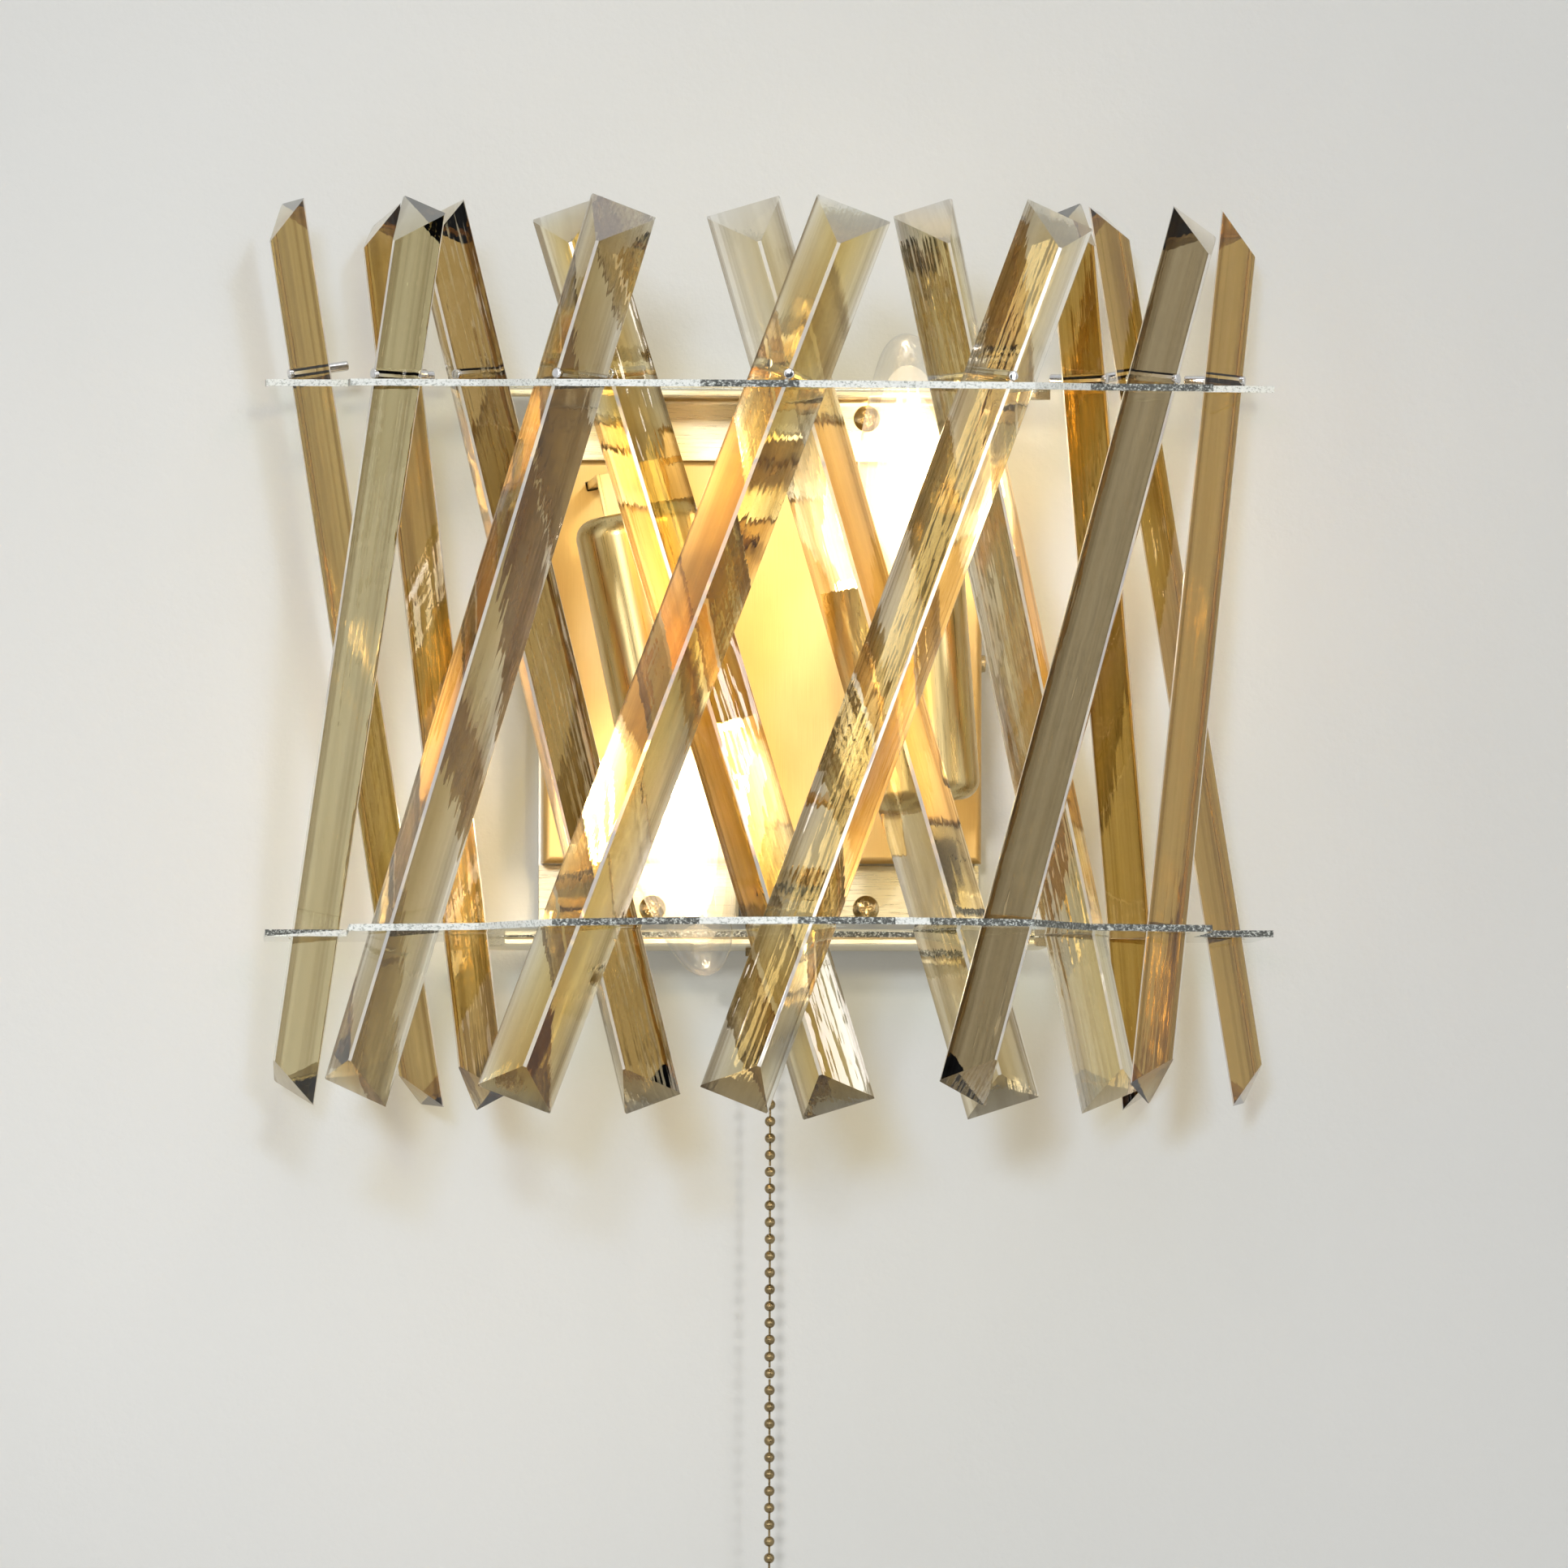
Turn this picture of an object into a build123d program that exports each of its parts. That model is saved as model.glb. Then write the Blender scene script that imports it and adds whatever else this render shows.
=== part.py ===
from build123d import *
import os
from math import cos, radians, sin, tan

# Wall sconce: two leaning glass shelves on brass brackets carry a double half ring of long
# crystal bars round two candle lamps. X runs to the right, the wall is the plane Y = 0, the
# sconce stands out towards -Y, and Z is up. The origin is the middle of the wall face.
# Millimetres and degrees.

os.makedirs("parts", exist_ok=True)

# ---------------------------------------------------------------- crystal bars
crystal_length = 273.0          # along the two back edges
crystal_base = 23.4             # width of the flat back face
crystal_depth = 9.4             # back face to front arris
crystal_end_cut = 11.4          # how much shorter the arris is at each bevelled end
crystal_arris_flat = 0.7        # polished flat along each long edge
pin_from_top = 50.7             # cross hole, from the upper end of the back edges
pin_diameter = 3.0
pin_hole_play = 0.1             # radial
pin_inner_reach = 9.0           # pin beyond the back face
pin_outer_reach = 0.3           # pin beyond the arris
pin_seat_gap = 0.05             # pin to glass

# ---------------------------------------------------------------- the two rows of bars
outer_row_radius = 144.0        # middle of the bars' depth, about the middle of the wall face
inner_row_radius = 117.0
hole_step = 26.1                # angle between neighbouring holes
end_hole_angle = 73.7           # last hole of each row, from straight ahead
end_hole = 3                    # number of the last hole, counted from the middle one
hang_turn = 1.2                 # a bar hangs this much nearer upright than its two holes
facing_share = 0.25             # 0 faces like the top hole, 1 like the bottom hole

# ---------------------------------------------------------------- glass plates
plate_thickness = 2.0
plate_gap = 168.4               # between the plates' middles, measured at the wall
plate_lean = 3.05               # front of each plate leans towards the other plate
bar_hole_play = 0.9             # all round a bar
plate_rim = 5.3                 # glass in front of the outer row's arrises
plate_rim_dip = 0.8             # how far the rim is cut back between two corners
plate_rim_corner_cut = 15.6     # and at its outer corners
plate_rim_corners = (           # place along the rim, in hole steps, and the cut there
    (0.4, 0),
    (0.55, plate_rim_dip),
    (1.02, 0),
    (1.53, plate_rim_corner_cut),
)
shoulder_side = 12.2            # glass beside the third hole
shoulder_front = 9.2            # glass in front of the third hole
ear_front = 15.6                # glass in front of the last hole
ear_side = 11.8                 # glass beside the last hole
plate_rear = 8.0                # rear edge, from the wall
lamp_opening_margin = 12.3      # glass inside the inner row
lamp_opening_corner = 5.0

# ---------------------------------------------------------------- wall plate and cover
wall_plate_side_gap = 0.7       # beside the cover
wall_plate_end_gap = 1.2        # below the middle of the glass, and above it
wall_plate_thickness = 2.0
wall_plate_corner = 4.0
wall_screw_spacing = 90.0
wall_screw_hole = 5.0
wall_screw_height = 30.0        # of the two wall screws above the middle
cable_hole = 12.0
cable_hole_height = 34.0
cable_bore = 8.0
grommet_lip = 2.5               # beyond the hole
grommet_flange = 1.5            # thickness of the lip
cover_width = 132.6
cover_height = 121.6
cover_front = 20.0              # front face, from the wall
cover_wall = 1.2
cover_edge_radius = 2.0
cover_tab_length = 13.0
cover_tab_height = 16.0
cover_tab_thickness = 1.5
cover_tab_play = 0.2
cover_screw_reach = 8.8         # side screws, from the wall plate
cover_screw_diameter = 3.0
cover_screw_length = 6.0
cover_screw_head = 5.4
cover_screw_head_height = 1.8
cover_screw_slot = (0.8, 1.4)   # width, and twice the depth

# ---------------------------------------------------------------- brackets
bracket_thickness = 2.5
shelf_lamp_gap = 22.0           # front edge of the shelf to the lamps' axis, in reach
shelf_width = 168.0
shelf_start = 11.0              # where the wide part of the shelf begins
shelf_corner = 5.0
bracket_bend_radius = 2.0       # inside of the bend
bracket_nose_chamfer = 0.6      # front edge of the shelf
bracket_cover_gap = 0.6
bracket_screw_spacing = 65.0
bracket_screw_drop = 9.7        # from the middle of the glass
clamp_screw_spacing = 124.0
clamp_screw_reach = 30.0        # from the wall
opening_shelf_gap = 2.0         # shelf front edge to the lamp opening

# ---------------------------------------------------------------- screws
screw_diameter = 4.0
screw_hole_play = 0.2           # radial
screw_head_diameter = 8.0
screw_head_height = 2.4
screw_head_rim = 0.5            # upright edge of the dome head
dome_crown = 0.3                # flat middle of the dome, as a share of its width
dome_shoulder = (0.72, 1.85)    # share of the width, and the height there
wall_skin = 0.2                 # screw ends stop this far short of the wall face
washer_diameter = 10.0
washer_thickness = 0.8
nut_width = 7.0
nut_height = 3.0
screw_end = 1.0                 # thread showing below a nut

# ---------------------------------------------------------------- lamps
lamp_row_gap = 45.0             # lamps' axis behind the inner row, in reach
lamp_spread = 48.0              # closed end of each sleeve from the middle, sideways
lamp_cover_drop = 18.8          # closed end of each sleeve inside the cover's upper or lower edge
left_lamp_lean = 11.7
right_lamp_lean = 4.3
sleeve_diameter = 25.0
sleeve_length = 67.0
sleeve_wall = 0.8
sleeve_end_radius = 6.0
arm_width = 6.0
arm_thickness = 2.0
arm_rise = 12.5                 # top of the arm above the sleeve's closed end
arm_foot = 13.0
arm_foot_width = 10.0
arm_slot_play = 0.4
arm_tongue = 8.0                # arm inside the sleeve
arm_tongue_play = 0.1
socket_diameter = 21.4
socket_foot_diameter = 13.0
socket_foot_length = 9.0
socket_length = 51.0            # below the foot
socket_bore = 14.4
socket_bore_depth = 19.0
socket_contact_bore = 5.0
socket_contact_depth = 3.0
bulb_cap_diameter = 13.8
bulb_collar_gap = 0.5          # collar below the socket's mouth
bulb_contact_diameter = 4.4
bulb_contact_length = 2.2
bulb_cap_lift = 0.3             # cap above the floor of the socket's bore
bulb_collar_diameter = 20.6
bulb_collar_length = 6.0
bulb_diameter = 35.0
bulb_neck_diameter = 20.0
bulb_taper = 48.0               # widest place to the tip
bulb_taper_place = 0.72         # a point of the taper, as a share of its length
bulb_taper_width = 0.62         # and its radius there, as a share of the widest
bulb_shoulder = 23.0            # neck to the widest place
bulb_wall = 0.8
stem_length = 16.0
stem_diameter = 5.0
stem_foot_height = 2.0
stem_disc_height = 1.2
filament_count = 4
filament_length = 30.0
filament_diameter = 1.6
filament_circle = 7.0
filament_spread_turn = 8.0

# ---------------------------------------------------------------- pull switch and bead chain
switch_side = 1.5               # to the right of the middle
switch_reach = 30.0
switch_width = 20.0
switch_depth = 16.0
switch_height = 18.0
switch_edge = 2.0
switch_shaft_bore = 6.4
switch_shaft_room = 1.0         # above the pull link at rest
bush_diameter = 9.6
bush_bore = 4.2
bush_hole_play = 0.2
bush_nut_width = 13.0
bush_nut_height = 2.4
bell_mouth_diameter = 13.0
bell_mouth_length = 5.0
bell_mouth_throat = 1.2         # straight bore before the flare
bell_mouth_lip = 1.1
bead_diameter = 3.2
bead_pitch = 5.04
bead_link_diameter = 0.9
bead_sides = 6                  # flats round a bead
bead_side_angle = 22.0          # a bead's widest band reaches this far from its middle
bead_pole_angle = 70.0          # and its ends are this far round
bead_joint_gap = 0.15           # a wire's end to the bead it turns on
chain_counts = (12, 12, 13)     # bead steps of each stiff length
first_bead_drop = 6.6           # first bead below the shelf
link_rod_diameter = 1.6
link_collar_diameter = 5.0
link_collar_height = 2.0
link_stop_gap = 0.5             # left under the collar when the chain is pulled right down
pull_travel = 10.0
knob_diameter = 8.0
knob_length = 13.0
knob_neck_diameter = 3.4
knob_waist = 0.16               # bulge of the side at mid height, as a share of the flare
knob_chamfer = 0.8

# ---------------------------------------------------------------- wiring
terminal_width = 30.0
terminal_height = 13.0
terminal_depth = 12.0
terminal_ways = 3
terminal_screw_bore = 3.4
terminal_wire_bore = 3.0
terminal_drop = 14.0            # below the middle
terminal_edge = 1.0
earth_screw_side = 38.0
earth_screw_drop = 36.0

# ---------------------------------------------------------------- sizes that follow from these
lamp_reach = inner_row_radius - lamp_row_gap
lamp_height = cover_height / 2 - lamp_cover_drop
bracket_reach = lamp_reach - shelf_lamp_gap
wall_plate_width = cover_width + 2 * wall_plate_side_gap
wall_plate_height = plate_gap - 2 * wall_plate_end_gap
bracket_screw_height = plate_gap / 2 - bracket_screw_drop
bracket_width = wall_plate_width
bracket_front = wall_plate_thickness + bracket_thickness
cut_length = 10 * plate_thickness       # long enough to pass through any plate or wall
small_round_sides = 10                  # flats round a pin, screw or washer


def save(node, shape):
    """Write one named piece."""
    shape.label = node
    export_step(shape, "parts/" + node + ".step")


def revolved(face):
    """Turn a half section, drawn as radius and height, about Z."""
    return revolve(Plane.XZ * face, Axis.Z)


def rectangle(low_x, low_y, high_x, high_y):
    """A rectangle between two corners."""
    width = high_x - low_x
    height = high_y - low_y
    return Pos(low_x + width / 2, low_y + height / 2) * Rectangle(width, height)


def hexagon_prism(width_across_flats, height):
    """A hexagon bar standing on the origin."""
    outline = RegularPolygon(width_across_flats / 2, 6, major_radius=False)
    return extrude(outline, height)


def small_rod(diameter, length):
    """A small round bar about the origin, with flats for its surface."""
    return extrude(RegularPolygon(diameter / 2, small_round_sides), length / 2, both=True)


# ---------------------------------------------------------------- where the holes and bars are
def plate_plane(side):
    """Middle plane of the upper (side 1) or lower (side -1) plate; its y runs to the wall."""
    tilt = radians(plate_lean)
    normal = (0, -side * sin(tilt), cos(tilt))
    return Plane(origin=(0, 0, side * plate_gap / 2), x_dir=(1, 0, 0), z_dir=normal)


def hole_angle(number):
    """Angle of a hole from straight ahead, for numbers from -end_hole to end_hole."""
    if abs(number) == end_hole:
        return end_hole_angle * number / end_hole
    return hole_step * number


def plate_point(side, radius, angle):
    """A point on a plate's middle plane."""
    turn = radians(angle)
    return plate_plane(side).from_local_coords(Vector(radius * sin(turn), -radius * cos(turn), 0))


def bar_frame(top_radius, top_number, bottom_radius, bottom_number):
    """Plane at a bar's cross hole: x faces outwards, z runs up the bar. Also its lower point."""
    lean_way = 1 if bottom_number > top_number else -1
    between = 0 if bottom_number == top_number else lean_way * hang_turn
    top_turn = 0 if abs(top_number) == end_hole else between
    bottom_turn = 0 if abs(bottom_number) == end_hole else -between
    top = plate_point(1, top_radius, hole_angle(top_number) + top_turn)
    bottom = plate_point(-1, bottom_radius, hole_angle(bottom_number) + bottom_turn)
    along = (top - bottom).normalized()
    facing = (1 - facing_share) * hole_angle(top_number) + facing_share * hole_angle(bottom_number)
    outward = Vector(sin(radians(facing)), -cos(radians(facing)), 0)
    outward = (outward - along * outward.dot(along)).normalized()
    normal = plate_plane(1).z_dir
    dip = outward.dot(normal)
    lowest = min(dip * (crystal_depth / 2 + pin_outer_reach), -dip * (crystal_depth / 2 + pin_inner_reach))
    seat = plate_thickness / 2 + pin_diameter / 2 + pin_seat_gap
    rise = (seat - lowest) / along.dot(normal)
    return Plane(origin=top + along * rise, x_dir=outward, z_dir=along), top, bottom


def all_bars():
    """Name and frame of every bar, named by its row and number in the upper plate."""
    bars = {}
    for number in range(-end_hole, end_hole + 1):
        order = str(number + end_hole + 1)
        outer_foot = (outer_row_radius, number - 1)
        inner_foot = (inner_row_radius, number + 1)
        if number == -end_hole:
            outer_foot = (inner_row_radius, number)
        if number == end_hole:
            inner_foot = (outer_row_radius, number)
        bars["outer_crystal_" + order] = bar_frame(outer_row_radius, number, *outer_foot)
        bars["inner_crystal_" + order] = bar_frame(inner_row_radius, number, *inner_foot)
    return bars


bars = all_bars()


# ---------------------------------------------------------------- crystals and their pins
def crystal_section():
    """Flat triangle, arris towards +X and back face towards -X, with small flats on its corners."""
    half = crystal_depth / 2
    corners = [(half, 0), (-half, crystal_base / 2), (-half, -crystal_base / 2)]
    return Polygon(*corners, align=None)


def make_crystal():
    """One bar, with its cross hole at the origin."""
    top = pin_from_top
    bottom = pin_from_top - crystal_length
    section = crystal_section()
    section = chamfer(section.vertices(), crystal_arris_flat)
    blank = Pos(0, 0, bottom) * extrude(section, crystal_length)
    half = crystal_depth / 2
    slope = crystal_end_cut / crystal_depth
    profile = Polygon(
        (-2 * half, top + slope * half),
        (2 * half, top - crystal_end_cut - slope * half),
        (2 * half, bottom + crystal_end_cut + slope * half),
        (-2 * half, bottom - slope * half),
        align=None,
    )
    bevels = extrude(Plane.XZ * profile, crystal_base, both=True)
    cross_hole = Rot(0, 90, 0) * small_rod(pin_diameter + 2 * pin_hole_play, 3 * crystal_depth)
    return (blank & bevels) - cross_hole


def make_pin():
    """One hanging pin along X, through the cross hole at the origin."""
    length = crystal_depth + pin_inner_reach + pin_outer_reach
    middle = (pin_outer_reach - pin_inner_reach) / 2
    return Pos(middle, 0, 0) * Rot(0, 90, 0) * small_rod(pin_diameter, length)


def bar_cutter(frame, point):
    """What a bar's hole takes out of a plate, round the point where the bar passes."""
    section = offset(crystal_section(), bar_hole_play, kind=Kind.INTERSECTION)
    at_point = Plane(origin=point, x_dir=frame.x_dir, z_dir=frame.z_dir)
    return extrude(at_point * section, cut_length, both=True)


crystal = make_crystal()
pin = make_pin()
pins = []
for node, (frame, top_point, bottom_point) in bars.items():
    save(node, crystal.moved(frame.location))
    pins.append(pin.moved(frame.location))
save("hanging_pins", Compound(pins))


# ---------------------------------------------------------------- glass plates
def plate_outline():
    """Half of the outline as polar and square corners, then mirrored; y is minus the reach."""
    rim = outer_row_radius + crystal_depth / 2 + plate_rim
    shoulder_hole = radians(hole_angle(end_hole - 1))
    last_hole = radians(hole_angle(end_hole))
    shoulder_x = outer_row_radius * sin(shoulder_hole) + shoulder_side
    shoulder_reach = outer_row_radius * cos(shoulder_hole) + shoulder_front
    ear_x = outer_row_radius * sin(last_hole) + ear_side
    ear_reach = outer_row_radius * cos(last_hole) + ear_front
    half = []
    for share, cut in plate_rim_corners:
        turn = radians(share * hole_step)
        half.append(((rim - cut) * sin(turn), -(rim - cut) * cos(turn)))
    half.append((shoulder_x, -shoulder_reach))
    half.append((shoulder_x, -ear_reach))
    half.append((ear_x, -ear_reach))
    half.append((ear_x, -plate_rear))
    mirrored = [(-x, y) for x, y in reversed(half)]
    return Polygon((0, -rim), *half, *mirrored, align=None)


def lamp_opening():
    """The D shape that the lamps pass through, between the shelf and the inner row."""
    radius = inner_row_radius - crystal_depth / 2 - lamp_opening_margin
    straight = bracket_reach + opening_shelf_gap
    shape = Circle(radius) - rectangle(-2 * radius, -straight, 2 * radius, 2 * radius)
    return fillet(shape.vertices(), lamp_opening_corner)


def make_plate(side):
    """A glass plate with its bar holes, lamp opening and screw holes."""
    plane = plate_plane(side)
    face = plate_outline() - lamp_opening()
    for x in (-clamp_screw_spacing / 2, clamp_screw_spacing / 2):
        face -= Pos(x, -clamp_screw_reach) * Circle(screw_diameter / 2 + screw_hole_play)
    if side < 0:
        face -= Pos(switch_side, -switch_reach) * Circle(bush_diameter / 2 + bush_hole_play)
    plate = extrude(plane * face, plate_thickness / 2, both=True)
    for frame, top_point, bottom_point in bars.values():
        plate -= bar_cutter(frame, top_point if side > 0 else bottom_point)
    return plate


save("upper_glass_plate", make_plate(1))
save("lower_glass_plate", make_plate(-1))


# ---------------------------------------------------------------- screws, washers and nuts
def dome_screw(length):
    """Dome head screw: the head rises from Z = 0, the shank goes down."""
    half = screw_head_diameter / 2
    outlines = []
    for radius_share, z in ((1, 0), (1, screw_head_rim), dome_shoulder, (dome_crown, screw_head_height)):
        outlines.append(Pos(0, 0, z) * RegularPolygon(half * radius_share, small_round_sides))
    return loft(outlines, ruled=True) + Pos(0, 0, -length / 2) * small_rod(screw_diameter, length)


front_out = Rot(90, 0, 0)       # turns a screw that points down so that its head faces -Y
bracket_screws = []
for x in (-bracket_screw_spacing / 2, bracket_screw_spacing / 2):
    for z in (-bracket_screw_height, bracket_screw_height):
        screw = dome_screw(bracket_front - wall_skin)
        bracket_screws.append(Pos(x, -bracket_front, z) * front_out * screw)
save("bracket_screws", Compound(bracket_screws))

clamp_screws = []
clamp_washers = []
clamp_nuts = []
for side in (1, -1):
    for x in (-clamp_screw_spacing / 2, clamp_screw_spacing / 2):
        at_glass = plate_plane(side).location * Pos(x, -clamp_screw_reach, plate_thickness / 2)
        stack = plate_thickness + bracket_thickness
        washer = Pos(0, 0, washer_thickness / 2) * small_rod(washer_diameter, washer_thickness)
        washer -= small_rod(screw_diameter + 2 * screw_hole_play, cut_length)
        clamp_washers.append(at_glass * washer)
        length = washer_thickness + stack + nut_height + screw_end
        clamp_screws.append(at_glass * Pos(0, 0, washer_thickness) * dome_screw(length))
        nut = hexagon_prism(nut_width, nut_height) - small_rod(screw_diameter, cut_length)
        clamp_nuts.append(at_glass * Pos(0, 0, -stack - nut_height) * nut)
save("plate_screws", Compound(clamp_screws))
save("plate_washers", Compound(clamp_washers))
save("plate_nuts", Compound(clamp_nuts))


# ---------------------------------------------------------------- brackets
def make_bracket(side):
    """Bent bracket: a flange on the wall plate and a shelf under the glass."""
    slope = tan(radians(plate_lean))
    drop = plate_thickness / 2 / cos(radians(plate_lean))
    depth = bracket_thickness / cos(radians(plate_lean))
    flange_end = side * (cover_height / 2 + bracket_cover_gap)
    back = wall_plate_thickness
    front = bracket_front
    under_shelf = bracket_reach / 2

    def top(reach):
        return side * (plate_gap / 2 - reach * slope) - drop

    def bottom(reach):
        return top(reach) - depth

    if side > 0:
        inside = (front, bottom(front))
        outside = (back, top(back))
        points = [(back, flange_end), (front, flange_end), inside, (under_shelf, bottom(under_shelf)),
                  (under_shelf, top(under_shelf)), outside]
    else:
        inside = (front, top(front))
        outside = (back, bottom(back))
        points = [outside, (under_shelf, bottom(under_shelf)), (under_shelf, top(under_shelf)), inside,
                  (front, flange_end), (back, flange_end)]
    face = Polygon(*points, align=None)
    face = fillet(face.vertices().sort_by_distance(inside)[0], bracket_bend_radius)
    face = fillet(face.vertices().sort_by_distance(outside)[0], bracket_bend_radius + bracket_thickness)
    seen_from_side = Plane(origin=(0, 0, 0), x_dir=(0, -1, 0), z_dir=(-1, 0, 0))
    bent = extrude(seen_from_side * face, bracket_width / 2, both=True)
    plane = plate_plane(side)
    wide = rectangle(-shelf_width / 2, -bracket_reach, shelf_width / 2, -shelf_start)
    wide = chamfer(wide.vertices(), shelf_corner)
    shelf = extrude(wide, bracket_thickness)
    nose = shelf.edges().filter_by(Axis.X).sort_by(Axis.Y)[0:2]
    shelf = chamfer(nose, bracket_nose_chamfer)
    bracket = bent + plane.location * Pos(0, 0, -plate_thickness / 2 - bracket_thickness) * shelf
    hole = Cylinder(screw_diameter / 2 + screw_hole_play, cut_length)
    for x in (-bracket_screw_spacing / 2, bracket_screw_spacing / 2):
        bracket -= Pos(x, -bracket_front, side * bracket_screw_height) * Rot(90, 0, 0) * hole
    for x in (-clamp_screw_spacing / 2, clamp_screw_spacing / 2):
        bracket -= plane.location * Pos(x, -clamp_screw_reach, 0) * hole
    if side < 0:
        bush_hole = Cylinder(bush_diameter / 2 + bush_hole_play, cut_length)
        bracket -= plane.location * Pos(switch_side, -switch_reach, 0) * bush_hole
    return bracket


save("upper_bracket", make_bracket(1))
save("lower_bracket", make_bracket(-1))


# ---------------------------------------------------------------- wall plate, grommet, cover
cover_inside = cover_width / 2 - cover_wall
cover_screw_y = -(wall_plate_thickness + cover_screw_reach)


def make_wall_plate():
    """Flat plate with two side tabs for the cover and holes for screws and cable."""
    face = RectangleRounded(wall_plate_width, wall_plate_height, wall_plate_corner)
    for x in (-wall_screw_spacing / 2, wall_screw_spacing / 2):
        face -= Pos(x, wall_screw_height) * Circle(wall_screw_hole / 2)
    face -= Pos(0, cable_hole_height) * Circle(cable_hole / 2)
    seen_from_front = Plane(origin=(0, 0, 0), x_dir=(1, 0, 0), z_dir=(0, -1, 0))
    plate = extrude(seen_from_front * face, wall_plate_thickness)
    for x in (-bracket_screw_spacing / 2, bracket_screw_spacing / 2):
        for z in (-bracket_screw_height, bracket_screw_height):
            plate -= Pos(x, 0, z) * Rot(90, 0, 0) * small_rod(screw_diameter, cut_length)
    for side in (-1, 1):
        x = side * (cover_inside - cover_tab_play - cover_tab_thickness / 2)
        y = -(wall_plate_thickness + cover_tab_height) / 2
        tab = Box(cover_tab_thickness, wall_plate_thickness + cover_tab_height, cover_tab_length)
        hole = Rot(0, 90, 0) * small_rod(cover_screw_diameter, cut_length)
        plate += Pos(x, y, 0) * tab
        plate -= Pos(x, cover_screw_y, 0) * hole
    for side in (-1, 1):
        plate -= arm_screw_hole(side)
    earth_hole = Rot(90, 0, 0) * small_rod(screw_diameter, cut_length)
    return plate - Pos(-earth_screw_side, 0, -earth_screw_drop) * earth_hole


def lamp_location(side):
    """Place of a lamp's closed end: 1 is the left lamp, hanging, and -1 the right one, standing."""
    turn = -left_lamp_lean if side > 0 else 180 - right_lamp_lean
    return Pos(-side * lamp_spread, -lamp_reach, side * lamp_height) * Rot(0, turn, 0)


arm_foot_y = lamp_reach - wall_plate_thickness      # wall plate's front face, in a lamp's own frame
arm_foot_middle = arm_rise - arm_foot / 2 - arm_thickness


def arm_screw_hole(side):
    """Tapped hole in the wall plate for a lamp arm's screw."""
    hole = Rot(90, 0, 0) * small_rod(screw_diameter, cut_length)
    return lamp_location(side) * Pos(0, arm_foot_y, arm_foot_middle) * hole


save("wall_plate", make_wall_plate())

grommet_section = rectangle(cable_bore / 2, 0, cable_hole / 2, wall_plate_thickness)
grommet_section += rectangle(cable_bore / 2, wall_plate_thickness, cable_hole / 2 + grommet_lip,
                             wall_plate_thickness + grommet_flange)
save("cable_grommet", Pos(0, 0, cable_hole_height) * Rot(90, 0, 0) * revolved(grommet_section))


# ---------------------------------------------------------------- lamps, drawn hanging down from the origin
def make_arm():
    """Square bent strap: tongue in the sleeve, riser, leg back to the wall, and a foot."""
    riser_low = -arm_tongue
    riser = Pos(0, 0, (arm_rise + riser_low) / 2) * Box(arm_width, arm_thickness, arm_rise - riser_low)
    leg_length = arm_foot_y + arm_thickness / 2
    leg = Pos(0, leg_length / 2 - arm_thickness / 2, arm_rise - arm_thickness / 2)
    leg *= Box(arm_width, leg_length, arm_thickness)
    foot = Pos(0, arm_foot_y - arm_thickness / 2, arm_foot_middle + arm_thickness / 2)
    foot *= Box(arm_foot_width, arm_thickness, arm_foot + arm_thickness)
    hole = Rot(90, 0, 0) * Cylinder(screw_diameter / 2 + screw_hole_play, cut_length)
    return riser + leg + foot - Pos(0, arm_foot_y, arm_foot_middle) * hole


def make_sleeve():
    """Drawn tube with a rounded closed end and a slot for the arm."""
    outer = rectangle(0, -sleeve_length, sleeve_diameter / 2, 0)
    outer = fillet(outer.vertices().sort_by_distance((sleeve_diameter / 2, 0))[0], sleeve_end_radius)
    inner = rectangle(0, -sleeve_length, sleeve_diameter / 2 - sleeve_wall, -sleeve_wall)
    corner = inner.vertices().sort_by_distance((sleeve_diameter / 2, 0))[0]
    inner = chamfer(corner, sleeve_end_radius - sleeve_wall)
    tube = revolved(outer - inner)
    return tube - Box(arm_width + 2 * arm_slot_play, arm_thickness + 2 * arm_slot_play, 6 * sleeve_wall)


socket_top = -sleeve_wall - socket_foot_length
socket_low = socket_top - socket_length
socket_floor = socket_low + socket_bore_depth


def make_socket():
    """Lamp socket: slotted foot on the arm's tongue, body, and the bore for the bulb's cap."""
    section = rectangle(0, socket_top, socket_foot_diameter / 2, -sleeve_wall)
    section += rectangle(0, socket_low, socket_diameter / 2, socket_top)
    section -= rectangle(0, socket_low, socket_bore / 2, socket_floor)
    section -= rectangle(0, socket_floor, socket_contact_bore / 2, socket_floor + socket_contact_depth)
    slot = Pos(0, 0, -sleeve_wall - arm_tongue / 2)
    slot *= Box(arm_width + arm_tongue_play, arm_thickness + arm_tongue_play, arm_tongue + arm_tongue_play)
    return revolved(section) - slot


cap_top = socket_floor - bulb_cap_lift
collar_top = socket_low - bulb_collar_gap
neck_z = collar_top - bulb_collar_length


def make_bulb_cap():
    """Screw cap with its end contact and the collar that grips the glass."""
    section = rectangle(0, cap_top, bulb_contact_diameter / 2, cap_top + bulb_contact_length)
    section += rectangle(0, collar_top, bulb_cap_diameter / 2, cap_top)
    section += rectangle(0, neck_z, bulb_collar_diameter / 2, collar_top)
    return revolved(section)


def bulb_half(radius, neck_radius, taper):
    """Candle outline: one smooth curve from the neck by the widest place to the round tip."""
    widest = neck_z - bulb_shoulder
    tip = (0, widest - taper)
    waist = (radius * bulb_taper_width, widest - taper * bulb_taper_place)
    side = Spline((neck_radius, neck_z), (radius, widest), waist, tip, tangents=((0.5, -1), (-1, 0)))
    return make_face(side + Line(tip, (0, neck_z)) + Line((0, neck_z), (neck_radius, neck_z)))


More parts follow.
